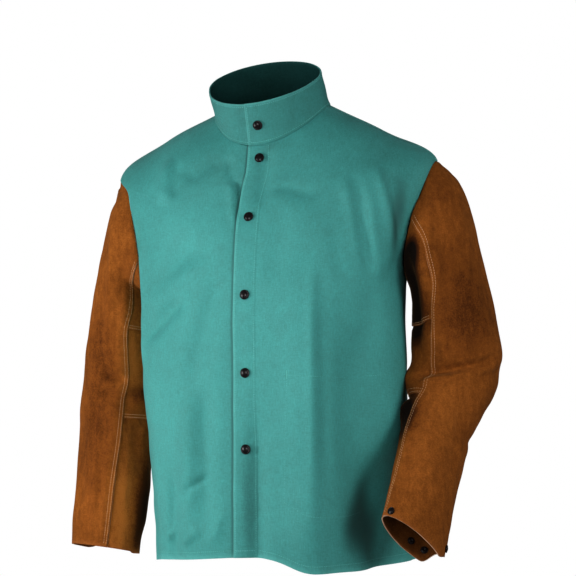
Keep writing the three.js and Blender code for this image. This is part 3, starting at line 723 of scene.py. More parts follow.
def make_sheet(name, points, place, marks, wall, finishes, rounding=0.0):
    """A sheet from a grid of points whose rows run round and columns run up, with a wall grown inwards.

    The finishes are those of the outside, the inside and the cut edge.
    """
    rows, columns = points.shape[:2]
    index = np.arange(rows * columns).reshape(rows, columns)
    faces = np.stack([index[:-1, :-1], index[:-1, 1:], index[1:, 1:], index[1:, :-1]], -1).reshape(-1, 4)
    piece = put_mesh(name, points.reshape(-1, 3), [faces], finishes, marks)
    uv = piece.data.uv_layers.new(name="cloth")
    uv.data.foreach_set("uv", (place.reshape(-1, 2)[faces.ravel()] * MM).astype(np.float32).ravel())
    thicken = piece.modifiers.new("wall", "SOLIDIFY")
    thicken.thickness, thicken.offset = wall * MM, -1.0
    thicken.material_offset, thicken.material_offset_rim = min(1, len(finishes) - 1), len(finishes) - 1
    if rounding:
        bevel = piece.modifiers.new("rounded_edge", "BEVEL")
        bevel.width, bevel.segments, bevel.limit_method = rounding * MM, ROUNDING_SEGMENTS, "ANGLE"
        bevel.angle_limit, bevel.use_clamp_overlap = ROUNDING_ANGLE, True
    flat_sizes[name] = (length_along(points, 1) * MM, length_along(points, 0) * MM, grid_area(points) * MM**2)
    print(f"{name}: {len(faces)} faces, flat {flat_sizes[name][0]:.3f} x {flat_sizes[name][1]:.3f} m")


# %% [markdown]
# ## Fronts and back
# The body is two fronts and a back, joined at the sides and over the shoulders. Each panel is cut away round
# the armhole along an oval, squarer at the top of the right one, where the sleeve pulls it. The cotton laps
# a little over the leather there, and dips into the seam where two panels meet.

# %% Armholes
ARMHOLE_LEVEL, ARMHOLE_HALF, ARMHOLE_LAP, ARMHOLE_EASE = 555.0, 95.0, 2.0, 2.5
BACK_REACH, BACK_CORNERS = 74.0, (2.2, 2.2)
LOWER_ROWS, ARMHOLE_ROWS, YOKE_ROWS = 144, 72, 56

# reach: from the side line to the armhole's front edge; corners: how square it is above and below its middle
left_sleeve = {"name": "left_sleeve", "side": 1, "reach": 60.0, "corners": (2.2, 1.5)}
right_sleeve = {"name": "right_sleeve", "side": -1, "reach": 96.0, "corners": (7.0, 3.0)}


def armhole_reach(level, reach, corners):
    """How far the armhole's edge lies from the side line: a squared oval, above and below its middle."""
    rise = np.clip(np.abs(level - ARMHOLE_LEVEL) / (ARMHOLE_HALF - ARMHOLE_LAP), 0, 1)
    corner = np.where(level > ARMHOLE_LEVEL, corners[0], corners[1])
    return (reach - ARMHOLE_LAP) * (1 - rise**corner) ** (1 / corner)


def panel_levels():
    """Rows from hem to neck, close together at the top and bottom of the armhole."""
    cut = ARMHOLE_HALF - ARMHOLE_LAP
    low, high = ARMHOLE_LEVEL - cut, ARMHOLE_LEVEL + cut
    middle = ARMHOLE_LEVEL - cut * np.cos(np.pi * np.arange(1, ARMHOLE_ROWS) / ARMHOLE_ROWS)
    lower, yoke = np.linspace(HEM_LEVEL, low, LOWER_ROWS), np.linspace(high, NECK_LEVEL, YOKE_ROWS)
    return np.concatenate([lower, middle, yoke])


print("rows from hem to neck:", len(panel_levels()))

# %% Edges, seams and painted light and shade of the cotton
HEM_WEAR, SIDE_WEAR = 7.0, 5.0
SEAM_DIP, SEAM_WIDTH = 1.3, 4.0
# Painted light and shade on the cotton: places made lighter, and places darkened where shade falls
# Columns: distance, level, half width, half length and change of tone
BODY_PAINTED_LIGHT = [
    (186, 82, 24, 56, -0.5), (214, 62, 22, 44, -0.5), (236, 575, 14, 70, -0.45), (4, 100, 18, 130, -0.32),
    (-76, 770, 40, 45, -0.22), (-94, 232, 26, 70, -0.18), (-186, 700, 40, 50, 0.25),
    (-118, 596, 60, 60, 0.12), (208, 420, 20, 90, 0.2), (120, 590, 50, 60, -0.12), (24, 818, 24, 22, -0.25),
    (150, 790, 70, 30, -0.15), (158, 66, 18, 44, -0.3), (236, 540, 12, 60, -0.15), (210, 700, 46, 46, -0.2),
]


def near_edges(share, level, width):
    """1 at the side edges and the hem of a panel, fading over a width."""
    hem = np.exp(-(((level - HEM_LEVEL) / HEM_WEAR) ** 2))
    return np.maximum(hem, np.exp(-(((1 - share) * width / SIDE_WEAR) ** 2)))


def seam_lift(to_edge):
    """Cloth dips into a seam at its edge."""
    return -SEAM_DIP * np.exp(-((to_edge / SEAM_WIDTH) ** 2))


def soft_ovals(x, y, ovals):
    """Sum over the ovals of a change times a bell across and along."""
    total = np.zeros(np.shape(x))
    for middle_x, middle_y, width, length, change in ovals:
        total = total + change * np.exp(-(((x - middle_x) / width) ** 2) - ((y - middle_y) / length) ** 2)
    return total


print("tones of the cotton:", len(BODY_PAINTED_LIGHT))

# %% Left front
FRONT_COLUMNS, FRONT_WIDTH, LAP_WEAR = 110, 260.0, 4.0
COTTON = [cotton, cotton_inside_shaded, cotton]
levels, shares = grid(panel_levels(), np.linspace(0, 1, FRONT_COLUMNS + 1))


def front_distance(sleeve, closing):
    """From the closing edge to the side seam; the outer columns give way to the armhole most."""
    side = side_length(levels, sleeve["side"] > 0)
    cut = armhole_reach(levels, sleeve["reach"], sleeve["corners"])
    return closing + (side - closing) * shares - cut * shares**ARMHOLE_EASE


distance = front_distance(left_sleeve, closing_edge(levels))
points = body_surface(distance, levels, seam_lift(distance[:, -1:] - distance))
lap_wear = np.exp(-((shares * FRONT_WIDTH / LAP_WEAR) ** 2))
edges = np.maximum(near_edges(shares, levels, FRONT_WIDTH), lap_wear)
# The second mark is painted light and shade
marks = {"edge": edges, "nap": soft_ovals(distance, levels, BODY_PAINTED_LIGHT)}
place = np.stack([distance, levels], -1)
make_sheet("front_left_cloth", points, place, marks, COTTON_WALL, COTTON, COTTON_ROUNDING)

# %% Right front
UNDERLAP, UNDERLAP_RAMP, UNDERLAP_END, UNDERLAP_DEPTH = 22.0, 30.0, 2.0, 2.2
# A thin line of shade lies beside the lap
GAP_WIDTH, GAP_TONE = 2.2, -0.6


def underlap_share(past_edge):
    """Ease from 0 to 1 as cloth comes near the edge that laps over it."""
    return smooth((past_edge + UNDERLAP_RAMP) / (UNDERLAP_RAMP - UNDERLAP_END))


distance = -front_distance(right_sleeve, -UNDERLAP)
past_edge = distance - closing_edge(levels)
lift = seam_lift(distance - distance[:, -1:]) - UNDERLAP_DEPTH * underlap_share(past_edge)
points = body_surface(distance, levels, lift)
gap = np.exp(-(((past_edge + GAP_WIDTH) / GAP_WIDTH) ** 2))
# Painted light and shade, with a painted line of shade beside the lap
tones = soft_ovals(distance, levels, BODY_PAINTED_LIGHT) + GAP_TONE * gap
marks = {"edge": near_edges(shares, levels, FRONT_WIDTH)[:, ::-1], "nap": tones[:, ::-1]}
place = np.stack([distance, levels], -1)
make_sheet("front_right_cloth", points[:, ::-1], place[:, ::-1], marks, COTTON_WALL, COTTON, COTTON_ROUNDING)

# %% Back
BACK_COLUMNS, BACK_WIDTH = 152, 500.0
levels, shares = grid(panel_levels(), np.linspace(0, 1, BACK_COLUMNS + 1))
start = side_length(levels, True)
end = half_length(levels, True) + half_length(levels, False) - side_length(levels, False)
cut = armhole_reach(levels, BACK_REACH, BACK_CORNERS)
distance = start + (end - start) * shares + cut * ((1 - shares) ** ARMHOLE_EASE - shares**ARMHOLE_EASE)
to_side = np.minimum(distance - distance[:, :1], distance[:, -1:] - distance)
points = body_surface(distance, levels, seam_lift(to_side))
edges = near_edges(np.maximum(shares, 1 - shares), levels, BACK_WIDTH)
place = np.stack([distance, levels], -1)
make_sheet("back_cloth", points, place, {"edge": edges}, COTTON_WALL, COTTON, COTTON_ROUNDING)

# %% [markdown]
# ## Placket
# The left front's edge is doubled by a strip that carries the snaps. It could be one more fold in the front,
# but a strip of its own has the true thickness at the edge. It lies on the front there, and its far side
# sinks until it shows only as a low ridge under a row of stitches.

# %% Placket
PLACKET_WIDTH, PLACKET_TOP = 36.0, 826.0
PLACKET_COLUMNS, PLACKET_ROWS = 16, 272
STRIP_CLEARANCE, STRIP_SINK, SINK_FROM, STRIP_WEAR = 0.1, 1.1, 0.55, 3.0
heights = np.linspace(HEM_LEVEL, PLACKET_TOP, PLACKET_ROWS)
levels, shares = grid(heights, np.linspace(0, 1, PLACKET_COLUMNS + 1))


def strip_lift(distance, level):
    """Height of the strip's outside over the front: its wall, sinking to a low ridge at its far side."""
    share = (distance - closing_edge(level)) / PLACKET_WIDTH
    return PLACKET_WALL + STRIP_CLEARANCE - STRIP_SINK * smooth((share - SINK_FROM) / (1 - SINK_FROM))


distance = closing_edge(levels) + PLACKET_WIDTH * shares
points = body_surface(distance, levels, strip_lift(distance, levels))
edges = np.exp(-((shares * PLACKET_WIDTH / STRIP_WEAR) ** 2))
# The second mark is painted light and shade
marks = {"edge": edges, "nap": soft_ovals(distance, levels, BODY_PAINTED_LIGHT)}
place = np.stack([distance, levels], -1)
make_sheet("placket_cloth", points, place, marks, PLACKET_WALL, COTTON, PLACKET_ROUNDING)

# %% [markdown]
# ## Collar
# The collar is two layers of cotton that stand on the neck seam and lean forward. A tube with two round ends
# would be simpler, but the real one follows the neck seam below, and its rim lies in a plane that rises to
# the back. So each point climbs from the seam along one slant until it meets that plane. The left end laps
# over the right one.

# %% Collar
COLLAR_SLANT = np.array([-0.12, -0.32, 1.0])
RIM_HEIGHT, RIM_SLOPE = 58.0, 0.6
COLLAR_LIFT, COLLAR_LEAN, COLLAR_GAP = -0.6, 10.0, 0.8
COLLAR_BULGE, BULGE_HEIGHT = 1.5, 7.0
COLLAR_WAVES, COLLAR_WAVE_HEIGHT, COLLAR_SEED = (45.0, 62.0, 90.0), 0.5, 11
COLLAR_COLUMNS, COLLAR_ROWS, COLLAR_HEIGHT = 210, 26, 70.0
# The collar's tone is lowered all over as painted shade
RIM_WEAR, END_WEAR, COLLAR_PAINTED_SHADE = 4.0, 3.0, -0.22
neck_girth = float(half_length(NECK_LEVEL, True) + half_length(NECK_LEVEL, False))
collar_start = float(closing_edge(np.array(NECK_LEVEL)))


def collar_surface(distance, share, depth=0.0):
    """Neck seam point, climbed along the slant by a share of the way to the rim, and sunk by a depth."""
    distance, share = np.broadcast_arrays(np.asarray(distance, float), np.asarray(share, float))
    level, step = np.full(distance.shape, NECK_LEVEL), 2.0
    base = ring_point(distance, level)
    along = ring_point(distance + step, level) - ring_point(distance - step, level)
    outward = unit(np.stack([along[..., 1], -along[..., 0], np.zeros(distance.shape)], -1))
    rise = (RIM_HEIGHT + RIM_SLOPE * base[..., 1] - base[..., 2]) / (1 - RIM_SLOPE * COLLAR_SLANT[1])
    climb = COLLAR_LIFT + (rise - COLLAR_LIFT) * share
    bulge = COLLAR_BULGE * np.exp(-((climb / BULGE_HEIGHT) ** 2))
    bulge = bulge + waves(base + climb[..., None], COLLAR_SEED, COLLAR_WAVES, COLLAR_WAVE_HEIGHT)
    return base + COLLAR_SLANT * climb[..., None] + outward * (bulge - depth)[..., None]


def collar_underlap(distance):
    """The right end of the collar sinks under the left one."""
    return (COLLAR_WALL + COLLAR_GAP) * underlap_share(distance - neck_girth - collar_start)


run = np.linspace(collar_start, neck_girth + UNDERLAP, COLLAR_COLUMNS)
shares, distance = grid(np.linspace(0, 1, COLLAR_ROWS), run)
points = collar_surface(distance + COLLAR_LEAN * shares, shares, collar_underlap(distance))
rim_wear = np.exp(-(((1 - shares) * COLLAR_HEIGHT / RIM_WEAR) ** 2))
end_wear = np.exp(-(((distance - collar_start) / END_WEAR) ** 2))
# The collar's second mark is painted shade all over
marks = {"edge": np.maximum(rim_wear, end_wear), "nap": np.full(shares.shape, COLLAR_PAINTED_SHADE)}
place = np.stack([distance, COLLAR_HEIGHT * shares], -1)
make_sheet("collar_cloth", points, place, marks, COLLAR_WALL, COTTON, COLLAR_ROUNDING)

# %% [markdown]
# ## The shape of the sleeves
# A sleeve starts on the armhole's oval and runs through seven tilted ovals to the cuff. A place on it is an
# angle, from the shoulder over the front to the underarm, and a share of the way along. The same cubic that
# joined the rings joins these ovals, so the leather leaves the body smoothly.

# %% Sleeve sections
# Columns: share along, centre x, y, z, half sizes wide and deep, and the tilts rake and pitch in degrees
left_sleeve["sections"] = np.array([
    (0.16, 259, 13, -223, 88, 80, 61, 0), (0.3, 271, 18, -294, 67, 74, 34, -4),
    (0.44, 279, 20, -372, 68, 72, 6, -4), (0.53, 281, 14, -420, 70, 66, -8, 14),
    (0.66, 262, -26, -489, 54, 57, -16, 28), (0.83, 249, -88, -577, 49, 49, -22, 35),
    (1, 239, -140, -658, 51, 45, -32, 46),
])
right_sleeve["sections"] = np.array([
    (0.16, 256, 6, -217, 77, 80, 70, 0), (0.3, 272, 10, -298, 58, 78, 32, -2),
    (0.44, 289, 14, -384, 61, 72, 10, 0), (0.57, 297, 12, -458, 64, 66, 4, 6),
    (0.72, 302, -4, -546, 64, 58, 2, 12), (0.87, 305, -26, -632, 62, 50, 1, 16),
    (1, 305, -46, -702, 58, 44, 5, 18),
])
SLEEVE_GIRTH, SLEEVE_LENGTH = 400.0, 560.0
MM_PER_RADIAN = SLEEVE_GIRTH / (2 * np.pi)
print("ovals of each sleeve:", len(left_sleeve["sections"]), len(right_sleeve["sections"]))

# %% Seams, folds and painted light and shade of the sleeves
# Columns: share along, front seam and back seam in degrees
left_sleeve["seams"] = np.array([
    (0, 79, 268), (0.1, 86, 264), (0.2, 90, 260), (0.27, 90, 259), (0.34, 100, 258), (0.44, 104, 256),
    (0.53, 108, 262), (0.62, 107, 271), (0.69, 119, 280), (0.76, 126, 289), (0.88, 130, 310), (1, 140, 336),
])
right_sleeve["seams"] = np.array([
    (0, 94, 268), (0.05, 114, 266), (0.09, 127, 265), (0.15, 134, 262), (0.22, 133, 260), (0.28, 128, 258),
    (0.35, 121, 256), (0.42, 123, 254), (0.5, 125, 253), (0.58, 120, 252), (0.7, 117, 256), (0.81, 113, 261),
    (0.91, 111, 269), (1, 108, 278),
])
# Columns: from (degrees, share), to (degrees, share), half width and height; broad folds, then creases
left_sleeve["folds"] = [
    (165, 0.58, -60, 0.51, 15, -9), (60, 0.08, 78, 0.46, 26, -8), (40, 0.58, 25, 0.86, 24, -5),
    (140, 0.605, -5, 0.465, 7, -6.0), (140, 0.634, -5, 0.494, 7, 6.0), (215, 0.575, 112, 0.6, 17, 10.0),
    (225, 0.645, 112, 0.645, 7, -4.0), (230, 0.71, 125, 0.675, 14, 7.0), (103, 0.25, 112, 0.42, 6, -6.0),
    (140, 0.0, 138, 0.52, 16, -10.0), (50, 0.69, -50, 0.69, 9, -4.0),
    (20, 0.22, 10, 0.46, 18, -2.2), (110, 0.70, 96, 0.94, 12, -2.0), (10, 0.62, -10, 0.9, 14, -2.2),
    (-40, 0.3, -60, 0.6, 20, -3.0), (70, 0.80, 40, 0.96, 10, 1.6), (70, 0.36, 30, 0.50, 16, -4.0),
]
right_sleeve["folds"] = [
    (80, 0.56, 150, 0.58, 15, -7), (55, 0.1, 85, 0.52, 26, -7), (40, 0.6, 62, 0.92, 22, -5),
    (-70, 0.075, 70, 0.075, 12, 4.0), (84, 0.495, 130, 0.515, 6, -5.0), (84, 0.53, 128, 0.55, 6, 2.5),
    (180, 0.76, 180, 0.97, 24, 5.0), (96, 0.44, 74, 0.70, 10, -2.6), (20, 0.34, 40, 0.58, 16, -2.4),
    (80, 0.70, 92, 0.96, 9, 1.8), (10, 0.66, 24, 0.94, 12, -2.0), (100, 0.12, 106, 0.40, 12, -2.4),
    (-30, 0.3, -50, 0.6, 20, -3.0), (140, 0.6, 160, 0.9, 14, -3.0), (60, 0.40, 100, 0.47, 8, -1.6),
]
# Painted light and shade on the leather: near-black ovals where shade falls in hollows, paler ones where
# light falls
# Columns: degrees, share along, half width, half length, change of tone
left_sleeve["nap"] = [
    (52, 0.355, 42, 62, -0.3), (58, 0.66, 40, 60, 0.22), (80, 0.86, 40, 60, 0.12), (62, 0.47, 40, 16, 0.02),
    (52, 0.215, 16, 40, 0.12), (150, 0.09, 30, 60, -4.0), (155, 0.30, 28, 52, -4.0),
    (150, 0.70, 26, 26, -3.0), (128, 0.55, 22, 26, 0.05), (117, 0.095, 14, 26, -2.2),
]
right_sleeve["nap"] = [
    (73, 0.40, 22, 60, -0.12), (80, 0.66, 24, 50, -0.16), (90, 0.18, 24, 40, 0.1), (78, 0.93, 30, 40, 0.12),
    (134, 0.45, 24, 70, 0.4), (132, 0.88, 24, 80, 0.42), (178, 0.875, 20, 58, -1.0),
    (150, 0.555, 20, 15, -0.4), (102, 0.505, 14, 9, -0.14), (80, 0.52, 60, 170, -0.1),
]
# Shares along at which the under panel is pieced, and the height of the puckers along the front seam
left_sleeve["piecing"], right_sleeve["piecing"] = (0.36, 0.64), (0.345, 0.63)
left_sleeve["pucker"], right_sleeve["pucker"] = 0.25, 0.9
# Degrees by which the outer and the under panel draw back from each other at the cuff
left_sleeve["vent"], right_sleeve["vent"] = (12, 30), (9, 9)
print("folds of each sleeve:", len(left_sleeve["folds"]), len(right_sleeve["folds"]))

# %% Sleeve surface
RING_STEPS = 1441
LEATHER_WAVES, LEATHER_WAVE_HEIGHT, LEATHER_SEED = (17.0, 23.0, 31.0, 44.0, 60.0), 0.5, 23
TUCK_DEPTH, TUCK_LENGTH = 2.6, 9.0


def armhole_ring(sleeve):
    """Points of the armhole's oval at even angles, once round from the shoulder over the front."""
    angle = np.linspace(0, 2 * np.pi, RING_STEPS)
    ahead, above = np.sin(angle), np.cos(angle)
    corner = np.where(ahead > 0, np.where(above > 0, *sleeve["corners"]), np.where(above > 0, *BACK_CORNERS))
    level = ARMHOLE_LEVEL + ARMHOLE_HALF * np.sign(above) * np.abs(above) ** (2 / corner)
    reach = np.where(ahead > 0, sleeve["reach"], BACK_REACH)
    side = side_length(level, sleeve["side"] > 0)
    distance = side - reach * np.sign(ahead) * np.abs(ahead) ** (2 / corner)
    return angle, body_surface(sleeve["side"] * distance, level)


def sleeve_line(sleeve, angle, along):
    """Point at an angle on the cubic through the armhole and the seven tilted ovals."""
    table_angle, table_points = sleeve["ring"]
    turned = np.mod(angle, 2 * np.pi)
    armhole = np.stack([np.interp(turned, table_angle, table_points[:, k]) for k in range(3)], -1)
    rows, side = sleeve["sections"], sleeve["side"]
    rake, pitch, none = np.radians(rows[:, 6]), np.radians(rows[:, 7]), np.zeros(len(rows))
    out = np.stack([side * np.cos(rake), none, np.sin(rake)], -1) * rows[:, 4:5]
    front = np.stack([none, -np.cos(pitch), np.sin(pitch)], -1) * rows[:, 5:6]
    middle = rows[:, 1:4] * np.array([side, 1, 1])
    ovals = middle + out * np.cos(angle)[..., None, None] + front * np.sin(angle)[..., None, None]
    weights = spline_weights([0, *rows[:, 0]], along).reshape(*np.shape(along), -1)
    return armhole * weights[..., :1] + (ovals * weights[..., 1:, None]).sum(-2)


def sleeve_normal(sleeve, angle, along):
    """Cross product of the way round and the way down, turned outwards."""
    turn, step = 0.03, 0.01
    lower, upper = np.minimum(along + step, 1), np.maximum(along - step, 0)
    down = sleeve_line(sleeve, angle, lower) - sleeve_line(sleeve, angle, upper)
    around = sleeve_line(sleeve, angle + turn, along) - sleeve_line(sleeve, angle - turn, along)
    return unit(np.cross(around, down)) * sleeve["side"]


def unrolled(degrees, along):
    """A place on the sleeve as mm round it and mm along it, as if the leather lay flat."""
    return degrees / 360 * SLEEVE_GIRTH, along * SLEEVE_LENGTH


def leather_surface(sleeve, angle, along, lift=0.0):
    """Sleeve line, raised along its normal by the lift, folds and waves, and tucked in at the armhole."""
    angle, along = np.broadcast_arrays(np.asarray(angle, float), np.asarray(along, float))
    folds = [(*unrolled(a, b), *unrolled(c, d), *size) for a, b, c, d, *size in sleeve["folds"]]
    points = sleeve_line(sleeve, angle, along)
    rise = lift + fold_relief(angle * MM_PER_RADIAN, along * SLEEVE_LENGTH, folds)
    rise = rise + waves(points, LEATHER_SEED, LEATHER_WAVES, LEATHER_WAVE_HEIGHT)
    rise = rise - TUCK_DEPTH * (1 - smooth(along * SLEEVE_LENGTH / TUCK_LENGTH))
    return points + sleeve_normal(sleeve, angle, along) * rise[..., None]


for sleeve in (left_sleeve, right_sleeve):
    sleeve["ring"] = armhole_ring(sleeve)
print("armhole rings:", [sleeve["ring"][1].shape for sleeve in (left_sleeve, right_sleeve)])

# %% [markdown]
# ## Leather panels
# Leather is too thick to turn in, so its seams are lapped: the outer panel lies over the under panel and is
# sewn down with two rows. The right sleeve's front seam has drawn up into small puckers. The under panel is
# pieced from three hides, each lapped over the next one down. The back seam is left open at the cuff.

# %% Seams of the leather
SEAM_LAP, UNDER_LAP, LAP_RISE = 6.0, 7.0, 2.2
VENT_FROM, CORNER_SHARE = 0.88, 0.2
CLIMB_FROM, CLIMB_WIDTH = 20.0, 12.0
PUCKER_FROM, PUCKER_RAMP, PUCKER_WIDTH = 0.15, 0.15, 9.0
PUCKER_STEP, PUCKER_DRIFT, DRIFT_RATE = 2.1, 1.3, 41.0
FRONT_SEAM, BACK_SEAM = 1, 2


def seam_angle(sleeve, along, seam):
    """Angle of the front or the back seam, from its column in the table of seams."""
    return np.radians(table_at(sleeve["seams"], along)[..., seam])


def vent(along):
    """Ease from 0 to 1 between the top of the open seam and the cuff."""
    return smooth((along - VENT_FROM) / (1 - VENT_FROM))


def corner_cut(share, along, cut):
    """How much shorter a panel ends next to the vent, where its corner is cut off."""
    return cut * (1 - smooth(share / CORNER_SHARE)) * vent(along)


def outer_lift(sleeve, angle, along):
    """The outer panel climbs over the under panel near both seams, and puckers along the front one."""
    past_front = (angle - seam_angle(sleeve, along, FRONT_SEAM)) * MM_PER_RADIAN
    past_back = (seam_angle(sleeve, along, BACK_SEAM) - 2 * np.pi - angle) * MM_PER_RADIAN
    climb = LAP_RISE * sum(smooth((past + CLIMB_FROM) / CLIMB_WIDTH) for past in (past_front, past_back))
    phase = along * SLEEVE_LENGTH / PUCKER_STEP + PUCKER_DRIFT * np.sin(along * DRIFT_RATE)
    fade = smooth((along - PUCKER_FROM) / PUCKER_RAMP) * np.exp(-((past_front / PUCKER_WIDTH) ** 2))
    return climb + sleeve["pucker"] * fade * np.sin(phase)


# %% Leather panels
OUTER_ROWS, OUTER_COLUMNS, UNDER_ROWS, UNDER_COLUMNS = 190, 95, 68, 40
OUTER_WIDTH, OUTER_CORNER, UNDER_CORNER = 220.0, 0.02, 0.034
SEAM_WEAR, CUFF_WEAR = 4.0, 5.0
PIECING_LAP, PIECING_TUCK = 0.014, 14.0
LEATHER = [suede, suede_inside_shaded, suede_edge]


def leather_panel(name, sleeve, angle, along, lift, edge):
    """A sheet over angles and shares, turned so that its outside faces out on either arm."""
    points = leather_surface(sleeve, angle, along, lift)
    place = np.stack([angle * MM_PER_RADIAN, along * SLEEVE_LENGTH], -1)
    # Ovals of painted light and shade
    ovals = [(*unrolled(degrees, middle), *size) for degrees, middle, *size in sleeve["nap"]]
    nap = soft_ovals(place[..., 0], place[..., 1], ovals)
    if sleeve["side"] < 0:
        points, place, edge, nap = points[:, ::-1], place[:, ::-1], edge[:, ::-1], nap[:, ::-1]
    make_sheet(name, points, place, {"edge": edge, "nap": nap}, LEATHER_WALL, LEATHER)


def back_lap(sleeve, along, lap, panel):
    """Angle by which a panel goes past the back seam, which turns into an opening at the vent."""
    drawn_back = math.radians(sleeve["vent"][panel])
    return lap / MM_PER_RADIAN * (1 - vent(along)) - drawn_back * vent(along)


def make_outer(sleeve):
    """From the back seam over the shoulder to the front seam, and past both by a lap."""
    along, share = grid(np.linspace(0, 1, OUTER_ROWS), np.linspace(0, 1, OUTER_COLUMNS))
    front = seam_angle(sleeve, along, FRONT_SEAM) + SEAM_LAP / MM_PER_RADIAN
    back = seam_angle(sleeve, along, BACK_SEAM) - 2 * np.pi - back_lap(sleeve, along, SEAM_LAP, 0)
    angle = back + (front - back) * share
    along = along - corner_cut(share, along, OUTER_CORNER)
    to_seam, to_cuff = np.minimum(share, 1 - share) * OUTER_WIDTH, (1 - along) * SLEEVE_LENGTH
    edge = np.maximum(np.exp(-((to_seam / SEAM_WEAR) ** 2)), np.exp(-((to_cuff / CUFF_WEAR) ** 2)))
    name = f"{sleeve['name']}_outer_leather"
    leather_panel(name, sleeve, angle, along, outer_lift(sleeve, angle, along), edge)


def make_under(sleeve, k):
    """Between the two seams from one piecing seam to the next, tucked under the piece above."""
    stops = (0, *sleeve["piecing"], 1)
    top, bottom = stops[k] - (PIECING_LAP if k else 0), stops[k + 1]
    along, share = grid(np.linspace(top, bottom, UNDER_ROWS), np.linspace(0, 1, UNDER_COLUMNS))
    front = seam_angle(sleeve, along, FRONT_SEAM) - UNDER_LAP / MM_PER_RADIAN
    back = seam_angle(sleeve, along, BACK_SEAM) + back_lap(sleeve, along, UNDER_LAP, 1)
    angle = front + (back - front) * share
    along = along - corner_cut(1 - share, along, UNDER_CORNER)
    tuck = -LAP_RISE * (1 - smooth((along - stops[k]) * SLEEVE_LENGTH / PIECING_TUCK)) if k else 0.0
    edge = np.exp(-(((bottom - along) * SLEEVE_LENGTH / CUFF_WEAR) ** 2))
    leather_panel(f"{sleeve['name']}_under_{k + 1}_leather", sleeve, angle, along, tuck, edge)


for sleeve in (left_sleeve, right_sleeve):
    make_outer(sleeve)
    for k in range(len(sleeve["piecing"]) + 1):
        make_under(sleeve, k)

# %% [markdown]
# ## Snaps
# A snap cap is pressed from thin steel, so its shape is a profile turned round an axis: a rolled rim, a
# groove inside it and a low dome. The backs inside the cuffs are flat rings with a socket. The profile starts
# a little below the cloth, so that no gap shows under the rim.

# %% Snaps
# Columns: share of the radius, share of the height, wear mark
CAP_PROFILE = np.array([
    (0.84, -0.55, 0), (0.95, -0.05, 0), (1.0, 0.22, 0.3), (0.985, 0.45, 0.8), (0.93, 0.60, 1.0),
    (0.86, 0.64, 0.6), (0.80, 0.58, 0.1), (0.76, 0.55, 0), (0.70, 0.62, 0.1), (0.55, 0.80, 0.2),
    (0.36, 0.93, 0.4), (0.16, 0.99, 0.6),
])
STUD_PROFILE = np.array([
    (0.80, -0.7, 0), (0.96, -0.3, 0), (1.0, 0.1, 0.3), (0.96, 0.38, 0.8), (0.86, 0.48, 0.8),
    (0.72, 0.44, 0.2), (0.62, 0.5, 0.2), (0.56, 0.9, 0.7), (0.48, 1.0, 0.9), (0.36, 0.94, 0.4),
    (0.3, 0.5, 0), (0.14, 0.42, 0),
])
SNAP_SIDES = 28
SNAP_RADIUS, SNAP_HEIGHT, CUFF_RADIUS, CUFF_HEIGHT = 7.5, 3.2, 5.6, 2.6


def turned_piece(name, base, facing, profile, radius, height):
    """A profile turned round the facing direction: rings of points, joined by quads and closed by fans."""
    side = unit(np.cross(facing, [0.0, 0.0, 1.0]))
    other = np.cross(facing, side)
    turn = np.linspace(0, 2 * np.pi, SNAP_SIDES, endpoint=False)
    ring = side * np.cos(turn)[:, None] + other * np.sin(turn)[:, None]
    points = ring[None] * (profile[:, 0, None, None] * radius) + facing * (profile[:, 1, None, None] * height)
    poles = facing * profile[[0, -1], 1][:, None] * height
    points = np.concatenate([points.reshape(-1, 3), poles]) + base
    index = np.arange(len(profile) * SNAP_SIDES).reshape(len(profile), SNAP_SIDES)
    after = np.roll(index, -1, axis=1)
    quads = np.stack([index[:-1], after[:-1], after[1:], index[1:]], -1).reshape(-1, 4)
    low, high = np.full(SNAP_SIDES, index.size), np.full(SNAP_SIDES, index.size + 1)
    fans = [np.stack([low, after[0], index[0]], -1), np.stack([high, index[-1], after[-1]], -1)]
    marks = np.concatenate([np.repeat(profile[:, 2], SNAP_SIDES), [0.0, profile[-1, 2]]])
    put_mesh(name, points, [quads, *fans], [lacquer], {"edge": marks})


def one(surface, *place):
    """A surface function at a single place."""
    return surface(*[np.array([float(v)]) for v in place])[0]


# %% Snaps of the front and the collar
FASTENED_LIFT, COLLAR_SNAP_LIFT, COLLAR_SNAP_SHARE, COLLAR_SNAP_STEP = 2.0, 0.6, 0.47, 6.0
for k, level in enumerate(SNAP_LEVELS):
    distance = one(closing_edge, level) + SNAP_INSET
    facing = one(body_normal, distance, level)
    base = one(body_surface, distance, level) + facing * FASTENED_LIFT
    turned_piece(f"front_snap_{k + 1}_cap", base, facing, CAP_PROFILE, SNAP_RADIUS, SNAP_HEIGHT)

distance = collar_start + COLLAR_LEAN * COLLAR_SNAP_SHARE + SNAP_INSET
steps = (-COLLAR_SNAP_STEP, 0, COLLAR_SNAP_STEP)
before, base, after = (one(collar_surface, distance + step, COLLAR_SNAP_SHARE) for step in steps)
facing = unit(np.cross(after - before, COLLAR_SLANT))
base = base + facing * COLLAR_SNAP_LIFT
turned_piece("collar_snap_cap", base, facing, CAP_PROFILE, SNAP_RADIUS, SNAP_HEIGHT)
print("snaps of the front and the collar:", len(SNAP_LEVELS) + 1)

# %% Snaps of the cuffs
CUFF_SNAP_LIFT, CUFF_STUD_LIFT = 0.8, 1.0
